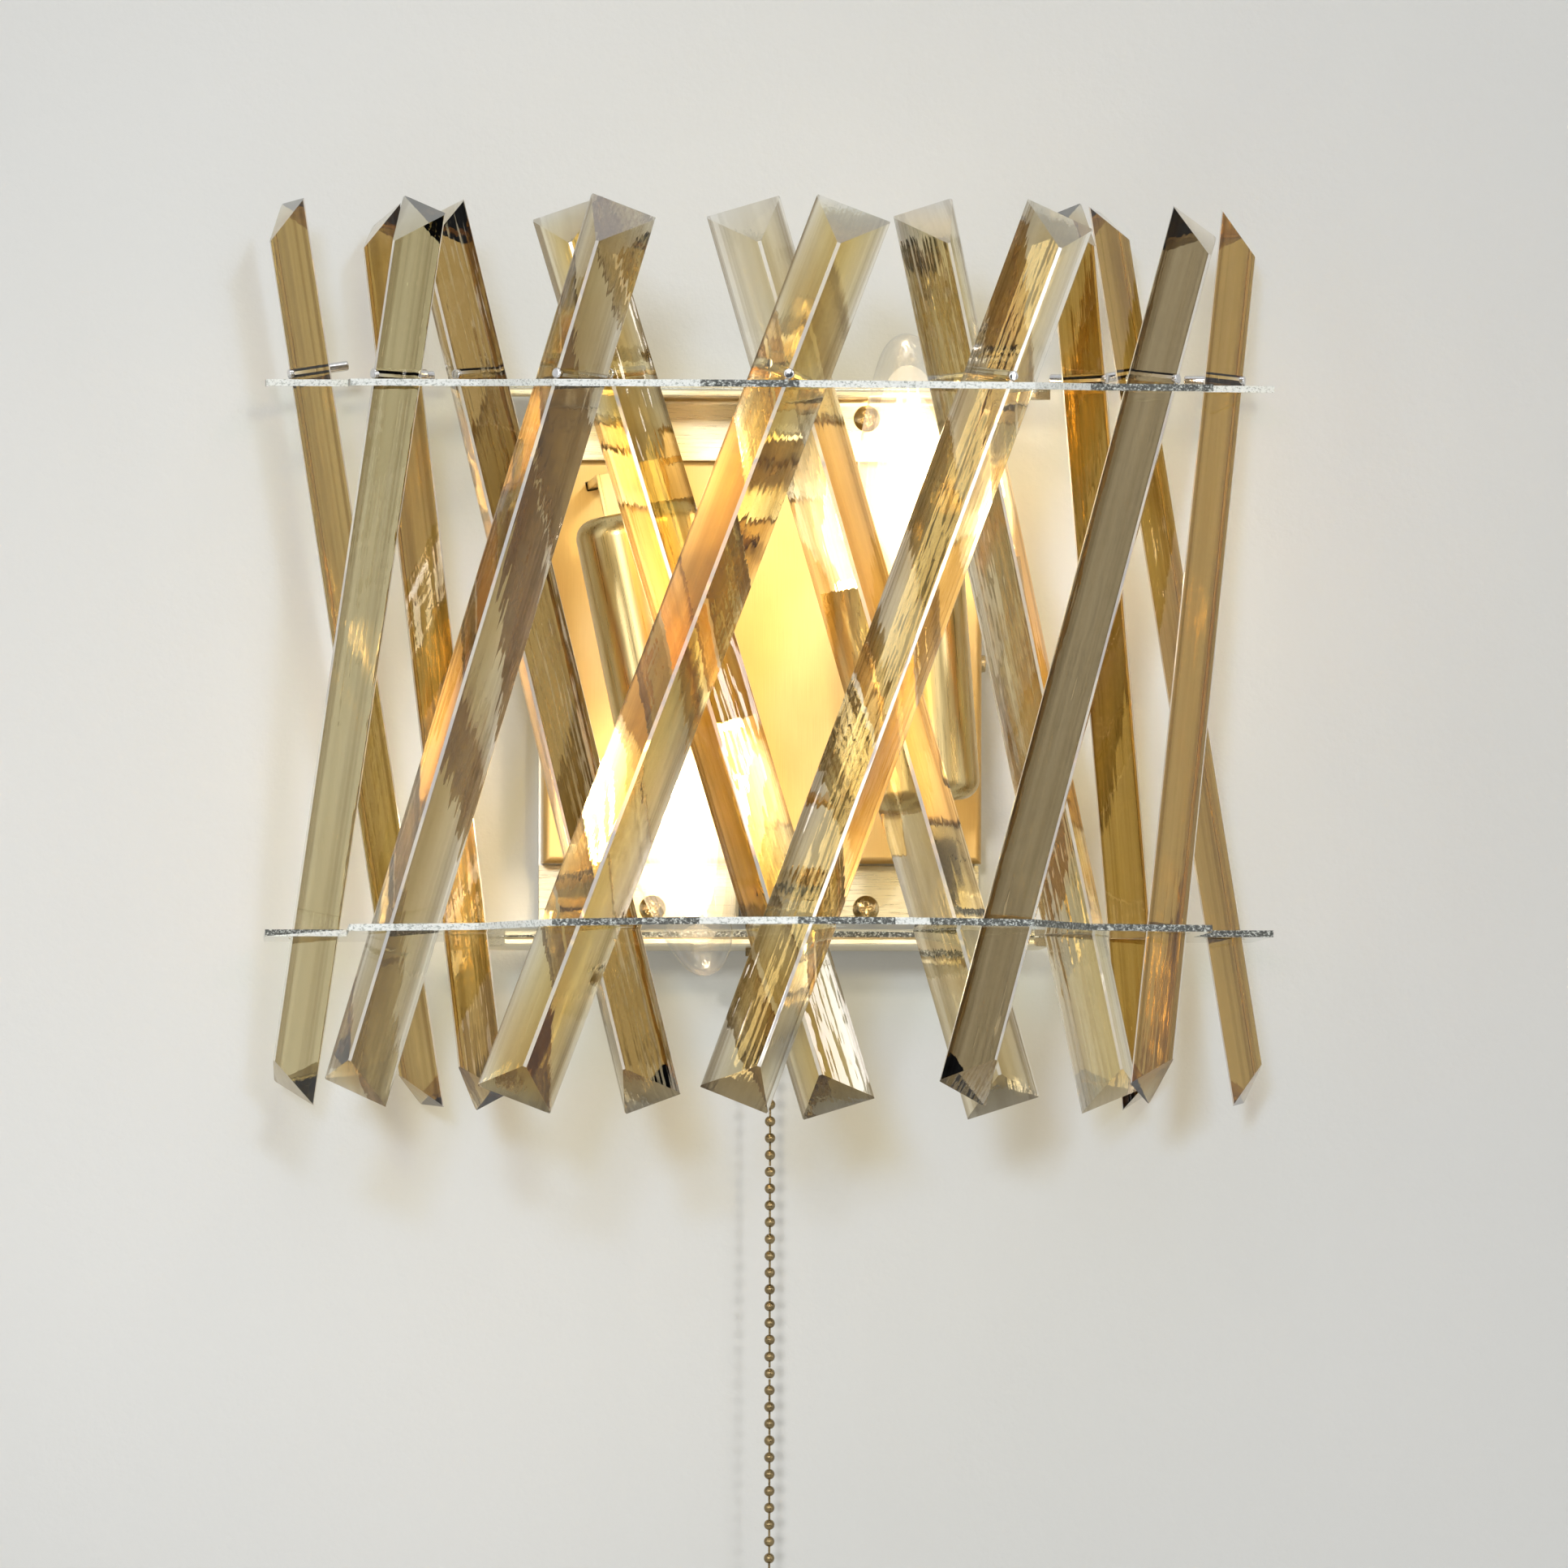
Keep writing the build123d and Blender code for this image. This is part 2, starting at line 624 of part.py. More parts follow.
def make_bulb_glass():
    """Blown candle bulb with its wall, open at the neck."""
    outside = bulb_half(bulb_diameter / 2, bulb_neck_diameter / 2, bulb_taper)
    inner_neck = bulb_neck_diameter / 2 - bulb_wall
    inside = bulb_half(bulb_diameter / 2 - bulb_wall, inner_neck, bulb_taper - bulb_wall)
    return revolved(outside - inside)


def make_filaments():
    """Glass stem with a ring of light sticks that stand on it."""
    stem_top = neck_z - bulb_wall
    stem = rectangle(0, stem_top - stem_length, stem_diameter / 2, stem_top)
    stem += rectangle(0, stem_top - stem_foot_height, bulb_neck_diameter / 2 - 2 * bulb_wall, stem_top)
    shape = revolved(stem)
    plate_z = stem_top - stem_length
    shape += Pos(0, 0, plate_z) * Cylinder(filament_circle / 2 + filament_diameter, stem_disc_height)
    for turn in range(filament_count):
        stick = Pos(filament_circle / 2, 0, plate_z - filament_length)
        stick *= Rot(filament_spread_turn, 0, 0) * hexagon_prism(filament_diameter, filament_length)
        shape += Rot(0, 0, turn * 360 / filament_count) * stick
    return shape


lamp_pieces = {
    "lamp_arm": make_arm(),
    "lamp_sleeve": make_sleeve(),
    "lamp_socket": make_socket(),
    "bulb_cap": make_bulb_cap(),
    "bulb_glass": make_bulb_glass(),
    "bulb_filaments": make_filaments(),
}
for side, word in ((1, "left_"), (-1, "right_")):
    for node, shape in lamp_pieces.items():
        save(word + node, lamp_location(side) * shape)

arm_screws = []
for side in (1, -1):
    screw = dome_screw(arm_thickness + wall_plate_thickness - wall_skin)
    at_foot = Pos(0, arm_foot_y - arm_thickness, arm_foot_middle)
    arm_screws.append(lamp_location(side) * at_foot * front_out * screw)
save("arm_screws", Compound(arm_screws))


# ---------------------------------------------------------------- cover
def make_cover():
    """Folded tray over the wiring, with a slot where each lamp arm comes out."""
    depth = cover_front - wall_plate_thickness
    y = -wall_plate_thickness - depth / 2
    tray = Pos(0, y, 0) * Box(cover_width, depth, cover_height)
    front = tray.faces().sort_by(Axis.Y)[0]
    tray = fillet(front.edges(), cover_edge_radius)
    inside = Box(cover_width - 2 * cover_wall, depth, cover_height - 2 * cover_wall)
    tray -= Pos(0, y + cover_wall, 0) * inside
    for side in (1, -1):
        leg = Pos(0, lamp_reach - cover_front, arm_rise - arm_thickness / 2)
        slot = Box(arm_width + 2 * arm_slot_play, 8 * cover_wall, arm_thickness + 2 * arm_slot_play)
        tray -= lamp_location(side) * leg * slot
    hole = Rot(0, 90, 0) * Cylinder(cover_screw_diameter / 2 + screw_hole_play, 4 * cover_width)
    return tray - Pos(0, cover_screw_y, 0) * hole


save("wiring_cover", make_cover())

side_screws = []
for side in (-1, 1):
    shank = Pos(0, 0, -cover_screw_length / 2) * small_rod(cover_screw_diameter, cover_screw_length)
    head = Pos(0, 0, cover_screw_head_height / 2) * small_rod(cover_screw_head, cover_screw_head_height)
    slot = Pos(0, 0, cover_screw_head_height) * Box(2 * cover_screw_head, *cover_screw_slot)
    screw = shank + head - slot
    side_screws.append(Pos(side * cover_width / 2, cover_screw_y, 0) * Rot(0, side * 90, 0) * screw)
save("cover_side_screws", Compound(side_screws))


# ---------------------------------------------------------------- terminal block and earth screw
def make_terminal_block():
    """Moulded block with a screw hole and a wire hole for each way."""
    depth = terminal_depth
    block = Box(terminal_width, depth, terminal_height)
    block = Pos(0, -wall_plate_thickness - depth / 2, -terminal_drop) * block
    block = chamfer(block.edges().filter_by(Axis.Y), terminal_edge)
    pitch = terminal_width / terminal_ways
    for way in range(terminal_ways):
        x = (way - (terminal_ways - 1) / 2) * pitch
        screw_hole = Rot(90, 0, 0) * small_rod(terminal_screw_bore, terminal_depth)
        wire_hole = small_rod(terminal_wire_bore, 3 * terminal_height)
        block -= Pos(x, -wall_plate_thickness - depth, -terminal_drop) * screw_hole
        block -= Pos(x, -wall_plate_thickness - depth / 2, -terminal_drop) * wire_hole
    return block


save("terminal_block", make_terminal_block())
earth = dome_screw(wall_plate_thickness - wall_skin)
earth_place = Pos(-earth_screw_side, -wall_plate_thickness, -earth_screw_drop)
save("earth_screw", earth_place * front_out * earth)


# ---------------------------------------------------------------- pull switch
switch_frame = plate_plane(-1).location * Pos(switch_side, -switch_reach, plate_thickness / 2)
shelf_under = -plate_thickness - bracket_thickness       # below the glass's upper face
first_bead_z = shelf_under - first_bead_drop
link_top = pull_travel + link_stop_gap + link_collar_height
switch_shaft_depth = link_top + switch_shaft_room


def make_switch_body():
    """Switch housing on the glass, bored for the pull link."""
    body = Pos(0, 0, switch_height / 2) * Box(switch_width, switch_depth, switch_height)
    body = chamfer(body.edges().filter_by(Axis.Z), switch_edge)
    return body - Cylinder(switch_shaft_bore / 2, 2 * switch_shaft_depth)


def make_bush():
    """Threaded bush through the glass and shelf, flared to a bell mouth below."""
    neck = -plate_thickness - bracket_thickness - bush_nut_height
    low = neck - bell_mouth_length
    section = rectangle(bush_bore / 2, neck, bush_diameter / 2, 0)
    mouth = Polygon(
        (bush_bore / 2, neck),
        (bush_bore / 2, neck - bell_mouth_throat),
        (bell_mouth_diameter / 2 - bell_mouth_lip, low),
        (bell_mouth_diameter / 2, low),
        (bell_mouth_diameter / 2, low + bell_mouth_lip),
        (bush_diameter / 2, neck),
        align=None,
    )
    return revolved(section + mouth)


save("pull_switch", switch_frame * make_switch_body())
save("switch_bush", switch_frame * make_bush())
bush_nut = hexagon_prism(bush_nut_width, bush_nut_height) - Cylinder(bush_diameter / 2, cut_length)
save("switch_nut", switch_frame * Pos(0, 0, shelf_under - bush_nut_height) * bush_nut)


def make_pull_link():
    """Rod with a stop collar in the switch; it ends just above the first bead."""
    low = first_bead_z + bead_diameter / 2 + bead_joint_gap
    rod = rectangle(0, low, link_rod_diameter / 2, link_top)
    collar = rectangle(0, link_top - link_collar_height, link_collar_diameter / 2, link_top)
    return revolved(rod + collar)


save("pull_link", switch_frame * make_pull_link())


# ---------------------------------------------------------------- bead chain, hanging upright
def section_ring(z, radius):
    """A regular outline round the chain at one height."""
    return Pos(0, 0, z) * RegularPolygon(radius, bead_sides)


def bead_rings(centre_z, pole_radius):
    """Outlines up one bead, from its lower pole to its upper one."""
    radius = bead_diameter / 2
    side_out = radius * cos(radians(bead_side_angle))
    side_up = radius * sin(radians(bead_side_angle))
    pole_up = radius * sin(radians(bead_pole_angle))
    rings = []
    for side in (-1, 1):
        ends = [(side * pole_up, pole_radius), (side * side_up, side_out)]
        for up, out in ends[::-side]:
            rings.append(section_ring(centre_z + up, out))
    return rings


def make_bead(centre_z):
    """One loose bead."""
    return loft(bead_rings(centre_z, bead_link_diameter / 2), ruled=True)


def make_chain(top_bead_z, count):
    """A stiff length between two bending beads: the wire and the beads that it joins."""
    reach = bead_diameter / 2 + bead_joint_gap
    wire = bead_link_diameter / 2
    rings = [section_ring(top_bead_z - count * bead_pitch + reach, wire)]
    for number in range(count - 1, 0, -1):
        rings += bead_rings(top_bead_z - number * bead_pitch, wire)
    rings.append(section_ring(top_bead_z - reach, wire))
    return loft(rings, ruled=True)


def make_knob(top):
    """Bell shaped end piece."""
    low = top - knob_length
    neck = knob_neck_diameter / 2
    half = knob_diameter / 2
    waist = (neck + (half - neck) * knob_waist, top - knob_length / 2)
    side_curve = ThreePointArc((neck, top), waist, (half, low + knob_chamfer))
    outline = side_curve + Line((half, low + knob_chamfer), (half - knob_chamfer, low))
    outline += Line((half - knob_chamfer, low), (0, low)) + Line((0, low), (0, top))
    outline += Line((0, top), (neck, top))
    return revolved(make_face(outline))


first_bead = (switch_frame * Pos(0, 0, first_bead_z)).position
hang = Pos(first_bead.X, first_bead.Y, 0)
bead_z = first_bead.Z
for word, count in zip(("upper", "middle", "lower"), chain_counts):
    save(word + "_bending_bead", hang * make_bead(bead_z))
    save(word + "_chain", hang * make_chain(bead_z, count))
    print(word + " bending bead at", round(first_bead.X, 4), round(first_bead.Y, 4), round(bead_z, 4))
    bead_z -= count * bead_pitch
save("pull_knob", hang * make_knob(bead_z + bead_diameter / 2 + bead_joint_gap))
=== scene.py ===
"""Crystal wall sconce: fourteen champagne crystal bars round two lit candle lamps, dressed and lit."""

import bpy
import numpy as np
from mathutils import Matrix, Vector


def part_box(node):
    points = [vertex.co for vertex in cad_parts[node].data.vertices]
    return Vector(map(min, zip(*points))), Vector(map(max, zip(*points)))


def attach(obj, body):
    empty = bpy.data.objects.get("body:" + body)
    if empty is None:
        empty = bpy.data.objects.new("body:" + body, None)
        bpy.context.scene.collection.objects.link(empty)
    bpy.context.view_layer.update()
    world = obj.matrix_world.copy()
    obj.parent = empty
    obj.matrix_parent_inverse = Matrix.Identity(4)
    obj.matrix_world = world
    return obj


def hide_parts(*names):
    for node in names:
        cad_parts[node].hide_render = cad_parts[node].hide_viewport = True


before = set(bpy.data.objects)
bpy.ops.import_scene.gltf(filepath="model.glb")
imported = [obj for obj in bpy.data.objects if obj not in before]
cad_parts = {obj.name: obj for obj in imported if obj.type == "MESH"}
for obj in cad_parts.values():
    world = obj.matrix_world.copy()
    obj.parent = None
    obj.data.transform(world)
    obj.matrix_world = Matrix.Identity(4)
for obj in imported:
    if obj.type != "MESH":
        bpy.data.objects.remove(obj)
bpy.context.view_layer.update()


# ---------------------------------------------------------------- camera
# A long lens a little over two metres away, a hand's width left of the middle and looking slightly to the
# right. The picture is square.
camera_data = bpy.data.cameras.new("camera")
camera_data.sensor_width = 36
camera_data.lens = 166.4
camera_data.clip_start = 0.1
camera_data.clip_end = 20
camera = bpy.data.objects.new("camera", camera_data)
bpy.context.scene.collection.objects.link(camera)
bpy.context.scene.camera = camera
camera_place = (-0.163, -2.2, -0.04855)
yaw, pitch, roll = np.radians([4.44, 0.31, 0.127])
ahead = np.array([np.sin(yaw) * np.cos(pitch), np.cos(yaw) * np.cos(pitch), np.sin(pitch)])
level = np.array([np.cos(yaw), -np.sin(yaw), 0])
upright = np.cross(level, ahead)
right = level * np.cos(roll) + upright * np.sin(roll)
up = upright * np.cos(roll) - level * np.sin(roll)
camera_turn = Matrix(np.array([right, up, -ahead]).T).to_4x4()
camera.matrix_world = Matrix.Translation(camera_place) @ camera_turn


# ---------------------------------------------------------------- wall, floor and light
# A painted plaster wall that the sconce is screwed to, and a pale floor well below it. Both are seen from
# their front only, so that a view from behind or below still shows the sconce. Plain studio lamps light
# them, and two strips give the glass and brass their long reflections.
def start_finish(name):
    """A new finish: its node tree, its Principled shader, and the socket of places on a piece in metres."""
    finish = bpy.data.materials.new(name)
    finish.use_nodes = True
    tree = finish.node_tree
    place = tree.nodes.new("ShaderNodeTexCoord").outputs["Object"]
    return finish, tree, tree.nodes["Principled BSDF"], place


def grain(tree, place, lump, detail=2, roughness=0.5, turn=(0, 0, 0)):
    """Noise from 0 to 1 whose lumps measure `lump` metres along the axes that `turn` gives."""
    scaled = tree.nodes.new("ShaderNodeMapping")
    scaled.vector_type = "TEXTURE"
    scaled.inputs["Rotation"].default_value = turn
    scaled.inputs["Scale"].default_value = lump
    tree.links.new(place, scaled.inputs["Vector"])
    noise = tree.nodes.new("ShaderNodeTexNoise")
    noise.inputs["Scale"].default_value = 1
    noise.inputs["Detail"].default_value = detail
    noise.inputs["Roughness"].default_value = roughness
    tree.links.new(scaled.outputs["Vector"], noise.inputs["Vector"])
    return noise.outputs["Fac"]


def even_grain(tree, place, lump, *more):
    """Noise whose lumps are the same all ways."""
    return grain(tree, place, (lump, lump, lump), *more)


def spread(tree, share, low, high, start=0.3, end=0.7):
    """A number that goes from `low` to `high` while `share` goes from `start` to `end`."""
    spread_node = tree.nodes.new("ShaderNodeMapRange")
    spread_node.inputs["From Min"].default_value = start
    spread_node.inputs["From Max"].default_value = end
    spread_node.inputs["To Min"].default_value = low
    spread_node.inputs["To Max"].default_value = high
    tree.links.new(share, spread_node.inputs["Value"])
    return spread_node.outputs["Result"]


def blend_colours(tree, share, first, second):
    """A colour from `first` to `second`, each a colour or a socket, while `share` goes from 0 to 1."""
    mixed = tree.nodes.new("ShaderNodeMix")
    mixed.data_type = "RGBA"
    for socket, colour in (("A", first), ("B", second)):
        if isinstance(colour, bpy.types.NodeSocket):
            tree.links.new(colour, mixed.inputs[socket])
        else:
            mixed.inputs[socket].default_value = (*colour, 1)
    tree.links.new(share, mixed.inputs["Factor"])
    return mixed.outputs["Result"]


def work_out(tree, operation, first, second=0.0):
    """The result of one sum on two numbers or sockets, such as MULTIPLY or MAXIMUM."""
    sum_node = tree.nodes.new("ShaderNodeMath")
    sum_node.operation = operation
    for socket, value in zip(sum_node.inputs, (first, second)):
        if isinstance(value, bpy.types.NodeSocket):
            tree.links.new(value, socket)
        else:
            socket.default_value = value
    return sum_node.outputs[0]


def emboss(tree, shader, height, depth):
    """Raises the surface by `height` times `depth` metres, as light sees it, over any earlier emboss."""
    bump = tree.nodes.new("ShaderNodeBump")
    bump.inputs["Distance"].default_value = depth
    tree.links.new(height, bump.inputs["Height"])
    if shader.inputs["Normal"].is_linked:
        tree.links.new(shader.inputs["Normal"].links[0].from_socket, bump.inputs["Normal"])
    tree.links.new(bump.outputs["Normal"], shader.inputs["Normal"])


def front_only(tree):
    """Lets light and sight through the back of the surface."""
    output = tree.nodes["Material Output"]
    mixed = tree.nodes.new("ShaderNodeMixShader")
    back = tree.nodes.new("ShaderNodeNewGeometry").outputs["Backfacing"]
    tree.links.new(back, mixed.inputs[0])
    tree.links.new(output.inputs["Surface"].links[0].from_socket, mixed.inputs[1])
    tree.links.new(tree.nodes.new("ShaderNodeBsdfTransparent").outputs[0], mixed.inputs[2])
    tree.links.new(mixed.outputs[0], output.inputs["Surface"])


plaster, tree, shader, place = start_finish("painted_plaster")
shader.inputs["Roughness"].default_value = 0.85
shader.inputs["Specular IOR Level"].default_value = 0.25
clouds = spread(tree, even_grain(tree, place, 0.25), 0, 1)
plaster_colour = blend_colours(tree, clouds, (0.76, 0.765, 0.745), (0.79, 0.79, 0.77))
tree.links.new(plaster_colour, shader.inputs["Base Color"])
emboss(tree, shader, even_grain(tree, place, 0.004, 4, 0.6), 0.0002)
front_only(tree)


def mesh_points(node):
    """All points of a modelled piece, in metres."""
    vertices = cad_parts[node].data.vertices
    points = np.zeros(3 * len(vertices))
    vertices.foreach_get("co", points)
    return points.reshape(-1, 3)


def flat_sheet(name, corners, finish, faces=((0, 1, 2, 3),)):
    """A flat sheet of four-cornered faces."""
    sheet = bpy.data.meshes.new(name)
    sheet.from_pydata(corners, [], faces)
    sheet.materials.append(finish)
    placed = bpy.data.objects.new(name, sheet)
    bpy.context.scene.collection.objects.link(placed)
    return placed


mm = 0.001
wall_y, floor_z, half_room, room_top, room_front = 0.2 * mm, -1.3, 2.5, 2, -4
# Behind the wall plate the wall is open, so that daylight reaches the plate's back.
hole_edge = 6 * mm
hole_left, _, hole_bottom = mesh_points("wall_plate").min(axis=0) + hole_edge
hole_right, _, hole_top = mesh_points("wall_plate").max(axis=0) - hole_edge
wall_corners = [(-half_room, wall_y, floor_z), (half_room, wall_y, floor_z),
                (half_room, wall_y, room_top), (-half_room, wall_y, room_top),
                (hole_left, wall_y, hole_bottom), (hole_right, wall_y, hole_bottom),
                (hole_right, wall_y, hole_top), (hole_left, wall_y, hole_top)]
wall = flat_sheet("wall", wall_corners, plaster, [(0, 1, 5, 4), (1, 2, 6, 5), (2, 3, 7, 6), (3, 0, 4, 7)])
floor = flat_sheet("floor", [(-half_room, room_front, floor_z), (half_room, room_front, floor_z),
                             (half_room, wall_y, floor_z), (-half_room, wall_y, floor_z)], plaster)


def aimed(place, target):
    """The place and turn of a lamp at `place` that shines at `target`."""
    direction = (Vector(target) - Vector(place)).to_track_quat("-Z", "Y").to_matrix().to_4x4()
    return Matrix.Translation(place) @ direction


def soft_box(name, place, width, height, power, gloss_only=False):
    """A rectangular studio lamp at `place` that shines at the sconce. With `gloss_only` it shows in glass
    and metal but leaves painted surfaces alone."""
    lamp_data = bpy.data.lights.new(name, "AREA")
    lamp_data.shape = "RECTANGLE"
    lamp_data.size, lamp_data.size_y = width, height
    lamp_data.energy = power
    lamp = bpy.data.objects.new(name, lamp_data)
    bpy.context.scene.collection.objects.link(lamp)
    lamp.matrix_world = aimed(place, (0, 0, -0.05))
    lamp.visible_camera = False
    lamp.visible_diffuse = not gloss_only


# Each lamp's place in metres, its width and height, and its power in watts.
soft_box("left_soft_box", (-1.9, -1.5, 0.5), 0.5, 1.8, 4.1)
soft_box("right_soft_box", (1.9, -1.3, 0.3), 0.3, 1.8, 1.7)
soft_box("top_soft_box", (0.1, -1.1, 1.8), 1.4, 0.5, 4.5)
soft_box("front_soft_box", (-0.5, -2.9, 0.45), 0.22, 0.22, 24)
soft_box("far_soft_box", (0.8, -2.6, 0.6), 0.25, 0.25, 3)
soft_box("left_strip", (-1.41, -1.94, 0.3), 0.22, 1.6, 10, gloss_only=True)
soft_box("right_strip", (1.6, -1.78, 0.2), 0.15, 1.6, 7, gloss_only=True)
# A spot with a soft rim brightens the wall round the sconce.
pool_data = bpy.data.lights.new("wall_pool", "SPOT")
pool_data.energy, pool_data.shadow_soft_size = 62, 0.1
pool_data.spot_size, pool_data.spot_blend = np.radians(14), 1
pool = bpy.data.objects.new("wall_pool", pool_data)
bpy.context.scene.collection.objects.link(pool)
pool.matrix_world = aimed((0.58, -2.6, 0.7), (-0.08, 0, -0.03))

# The room is pale at the sides, above and behind the wall, and dark in front, behind the camera.
room = bpy.data.worlds.new("studio")
bpy.context.scene.world = room
room.use_nodes = True
room_tree = room.node_tree
direction = room_tree.nodes.new("ShaderNodeTexCoord").outputs["Generated"]
parts = room_tree.nodes.new("ShaderNodeSeparateXYZ")
room_tree.links.new(direction, parts.inputs[0])
sideways = spread(room_tree, work_out(room_tree, "ABSOLUTE", parts.outputs["X"]), 0, 1, 0.7, 0.93)
upwards = spread(room_tree, parts.outputs["Z"], 0, 1, 0.3, 0.75)
downwards = spread(room_tree, parts.outputs["Z"], 1, 0, -0.7, -0.25)
room_level = blend_colours(room_tree, sideways, (0.03, 0.03, 0.031), (0.78, 0.78, 0.77))
room_level = blend_colours(room_tree, upwards, room_level, (0.75, 0.75, 0.75))
room_level = blend_colours(room_tree, downwards, room_level, (0.04, 0.038, 0.035))
behind = spread(room_tree, parts.outputs["Y"], 0, 1, 0.1, 0.5)
room_level = blend_colours(room_tree, behind, room_level, (0.7, 0.7, 0.7))
seen = room_tree.nodes.new("ShaderNodeLightPath").outputs["Is Camera Ray"]
room_colour = blend_colours(room_tree, seen, room_level, (0.86, 0.86, 0.85))
room_tree.links.new(room_colour, room_tree.nodes["Background"].inputs[0])

bpy.context.scene.view_settings.view_transform = "Standard"
# Light passes many faces of glass and crystal on its way.
light_paths = bpy.context.scene.cycles
light_paths.max_bounces = 20
light_paths.transmission_bounces = 20
light_paths.transparent_max_bounces = 32


# ---------------------------------------------------------------- wall plate
# A flat plate of zinc plated sheet steel, screwed to the wall, that carries everything. The supply wires
# come in through a rubber grommet.
def dress(node, finish):
    """Gives a modelled piece its finish."""
    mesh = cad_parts[node].data
    mesh.materials.clear()
    mesh.materials.append(finish)


plated, tree, shader, place = start_finish("plated_steel")
shader.inputs["Metallic"].default_value = 1
crystals_of_zinc = even_grain(tree, place, 0.006, 3)
zinc_tone = spread(tree, crystals_of_zinc, 0, 1)
zinc_colour = blend_colours(tree, zinc_tone, (0.55, 0.55, 0.54), (0.68, 0.68, 0.66))
tree.links.new(zinc_colour, shader.inputs["Base Color"])
tree.links.new(spread(tree, crystals_of_zinc, 0.3, 0.45), shader.inputs["Roughness"])
emboss(tree, shader, grain(tree, place, (0.0004, 0.0004, 0.003)), 0.00001)
dress("wall_plate", plated)


def moulded_finish(name, darker, lighter, cloud, roughness, pit):
    """Moulded rubber or plastic with clouds of two tones, `cloud` metres across, and pits of `pit` metres."""
    moulded, tree, shader, place = start_finish(name)
    clouds = spread(tree, even_grain(tree, place, cloud), 0, 1)
    tree.links.new(blend_colours(tree, clouds, darker, lighter), shader.inputs["Base Color"])
    shader.inputs["Roughness"].default_value = roughness
    emboss(tree, shader, even_grain(tree, place, pit), 0.00002)
    return moulded


black_rubber = moulded_finish("black_rubber", (0.012, 0.012, 0.012), (0.03, 0.03, 0.03), 0.002, 0.7, 0.0003)
dress("cable_grommet", black_rubber)


# ---------------------------------------------------------------- brackets
# Two pieces of brass sheet bent to a flange and a shelf, brushed along their width and lacquered. The
# flanges show above and below the cover, the shelves lie against the glass plates.
def brass_finish(name, lighter, darker, brush, turn=(0, 0, 0), roughness=(0.24, 0.38), brush_depth=0.000012):
    """Brushed lacquered brass: hair lines with lumps of `brush` metres, a slow change of tone, soft edges."""
    brass, tree, shader, place = start_finish(name)
    shader.inputs["Metallic"].default_value = 1
    hair = grain(tree, place, brush, 3, 0.6, turn)
    tone = even_grain(tree, place, 0.03)
    both = work_out(tree, "ADD", work_out(tree, "MULTIPLY", hair, 0.7), spread(tree, tone, 0, 0.3))
    tree.links.new(blend_colours(tree, spread(tree, both, 0, 1, 0.2, 0.8), darker, lighter),
                   shader.inputs["Base Color"])
    tree.links.new(spread(tree, hair, *roughness), shader.inputs["Roughness"])
    rounded = tree.nodes.new("ShaderNodeBevel")
    rounded.samples = 4
    rounded.inputs["Radius"].default_value = 0.0006
    tree.links.new(rounded.outputs[0], shader.inputs["Normal"])
    emboss(tree, shader, hair, brush_depth)
    shader.inputs["Coat Weight"].default_value = 0.25
    shader.inputs["Coat Roughness"].default_value = 0.15
    return brass


flange_brass = brass_finish("flange_brass", (0.84, 0.77, 0.58), (0.68, 0.60, 0.42), (0.012, 0.0004, 0.0002))
dress("upper_bracket", flange_brass)
dress("lower_bracket", flange_brass)


# ---------------------------------------------------------------- screws
# Plain brass dome head screws with a cross recess: four hold the brackets to the wall plate, four clamp the
# glass plates to the shelves.
def ring_faces(rings, sides):
    """Faces of a closed skin of `rings` rings, each of `sides` points: four-sided ones between neighbouring
    rings, and a fan from the first and the last ring to the two end points, which come after all rings."""
    ring = np.arange(rings - 1)[:, None] * sides
    side = np.arange(sides)[None, :]
    following = (side + 1) % sides
    squares = np.stack([ring + side, ring + following, ring + sides + following, ring + sides + side], -1)
    first_end, last_end = rings * sides, rings * sides + 1
    last_ring = (rings - 1) * sides
    first_fan = np.stack([following[0], side[0], np.full(sides, first_end)], -1)
    last_fan = np.stack([last_ring + side[0], last_ring + following[0], np.full(sides, last_end)], -1)
    return squares.reshape(-1, 4), np.concatenate([first_fan, last_fan])


def turned_points(radius, height, sides, sink=None):
    """Points of a turned piece: at each step of the profile a ring of that radius and height, then the two
    end points on the axis. `sink` lowers a point by an amount that depends on its two sideways places."""
    angle = np.arange(sides) * 2 * np.pi / sides
    x = radius[1:-1, None] * np.cos(angle)
    y = radius[1:-1, None] * np.sin(angle)
    z = np.broadcast_to(height[1:-1, None], x.shape).copy()
    rings = np.stack([x, y, z], -1).reshape(-1, 3)
    points = np.concatenate([rings, [[0, 0, height[0]], [0, 0, height[-1]]]])
    if sink is not None:
        points[:, 2] -= sink(points)
    return points


def place_all(points, squares, fans, places):
    """Copies one skin to every place, a 4 x 4 matrix each, and returns all points and faces."""
    places = np.array(places, float)
    moved = np.einsum("nij,kj->nki", places[:, :3, :3], points) + places[:, None, :3, 3]
    step = np.arange(len(places)) * len(points)
    all_squares = (squares[None] + step[:, None, None]).reshape(-1, 4)
    all_fans = (fans[None] + step[:, None, None]).reshape(-1, 3)
    return moved.reshape(-1, 3), all_squares.tolist() + all_fans.tolist()


crease = 0.7        # in radians


def add_piece(name, points, faces, finish, body, stands_for=()):
    """Makes a piece from points in millimetres, shaded smooth except across edges sharper than a crease."""
    mesh = bpy.data.meshes.new(name)
    mesh.from_pydata((points * mm).tolist(), [], faces)
    mesh.shade_smooth()
    mesh.set_sharp_from_angle(angle=crease)
    mesh.materials.append(finish)
    piece = bpy.data.objects.new(name, mesh)
    bpy.context.scene.collection.objects.link(piece)
    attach(piece, body)
    if stands_for:
        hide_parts(*stands_for)
    return piece


def about(axis, degrees):
    """A turn about the X, Y or Z axis."""
    return np.array(Matrix.Rotation(np.radians(degrees), 4, axis))


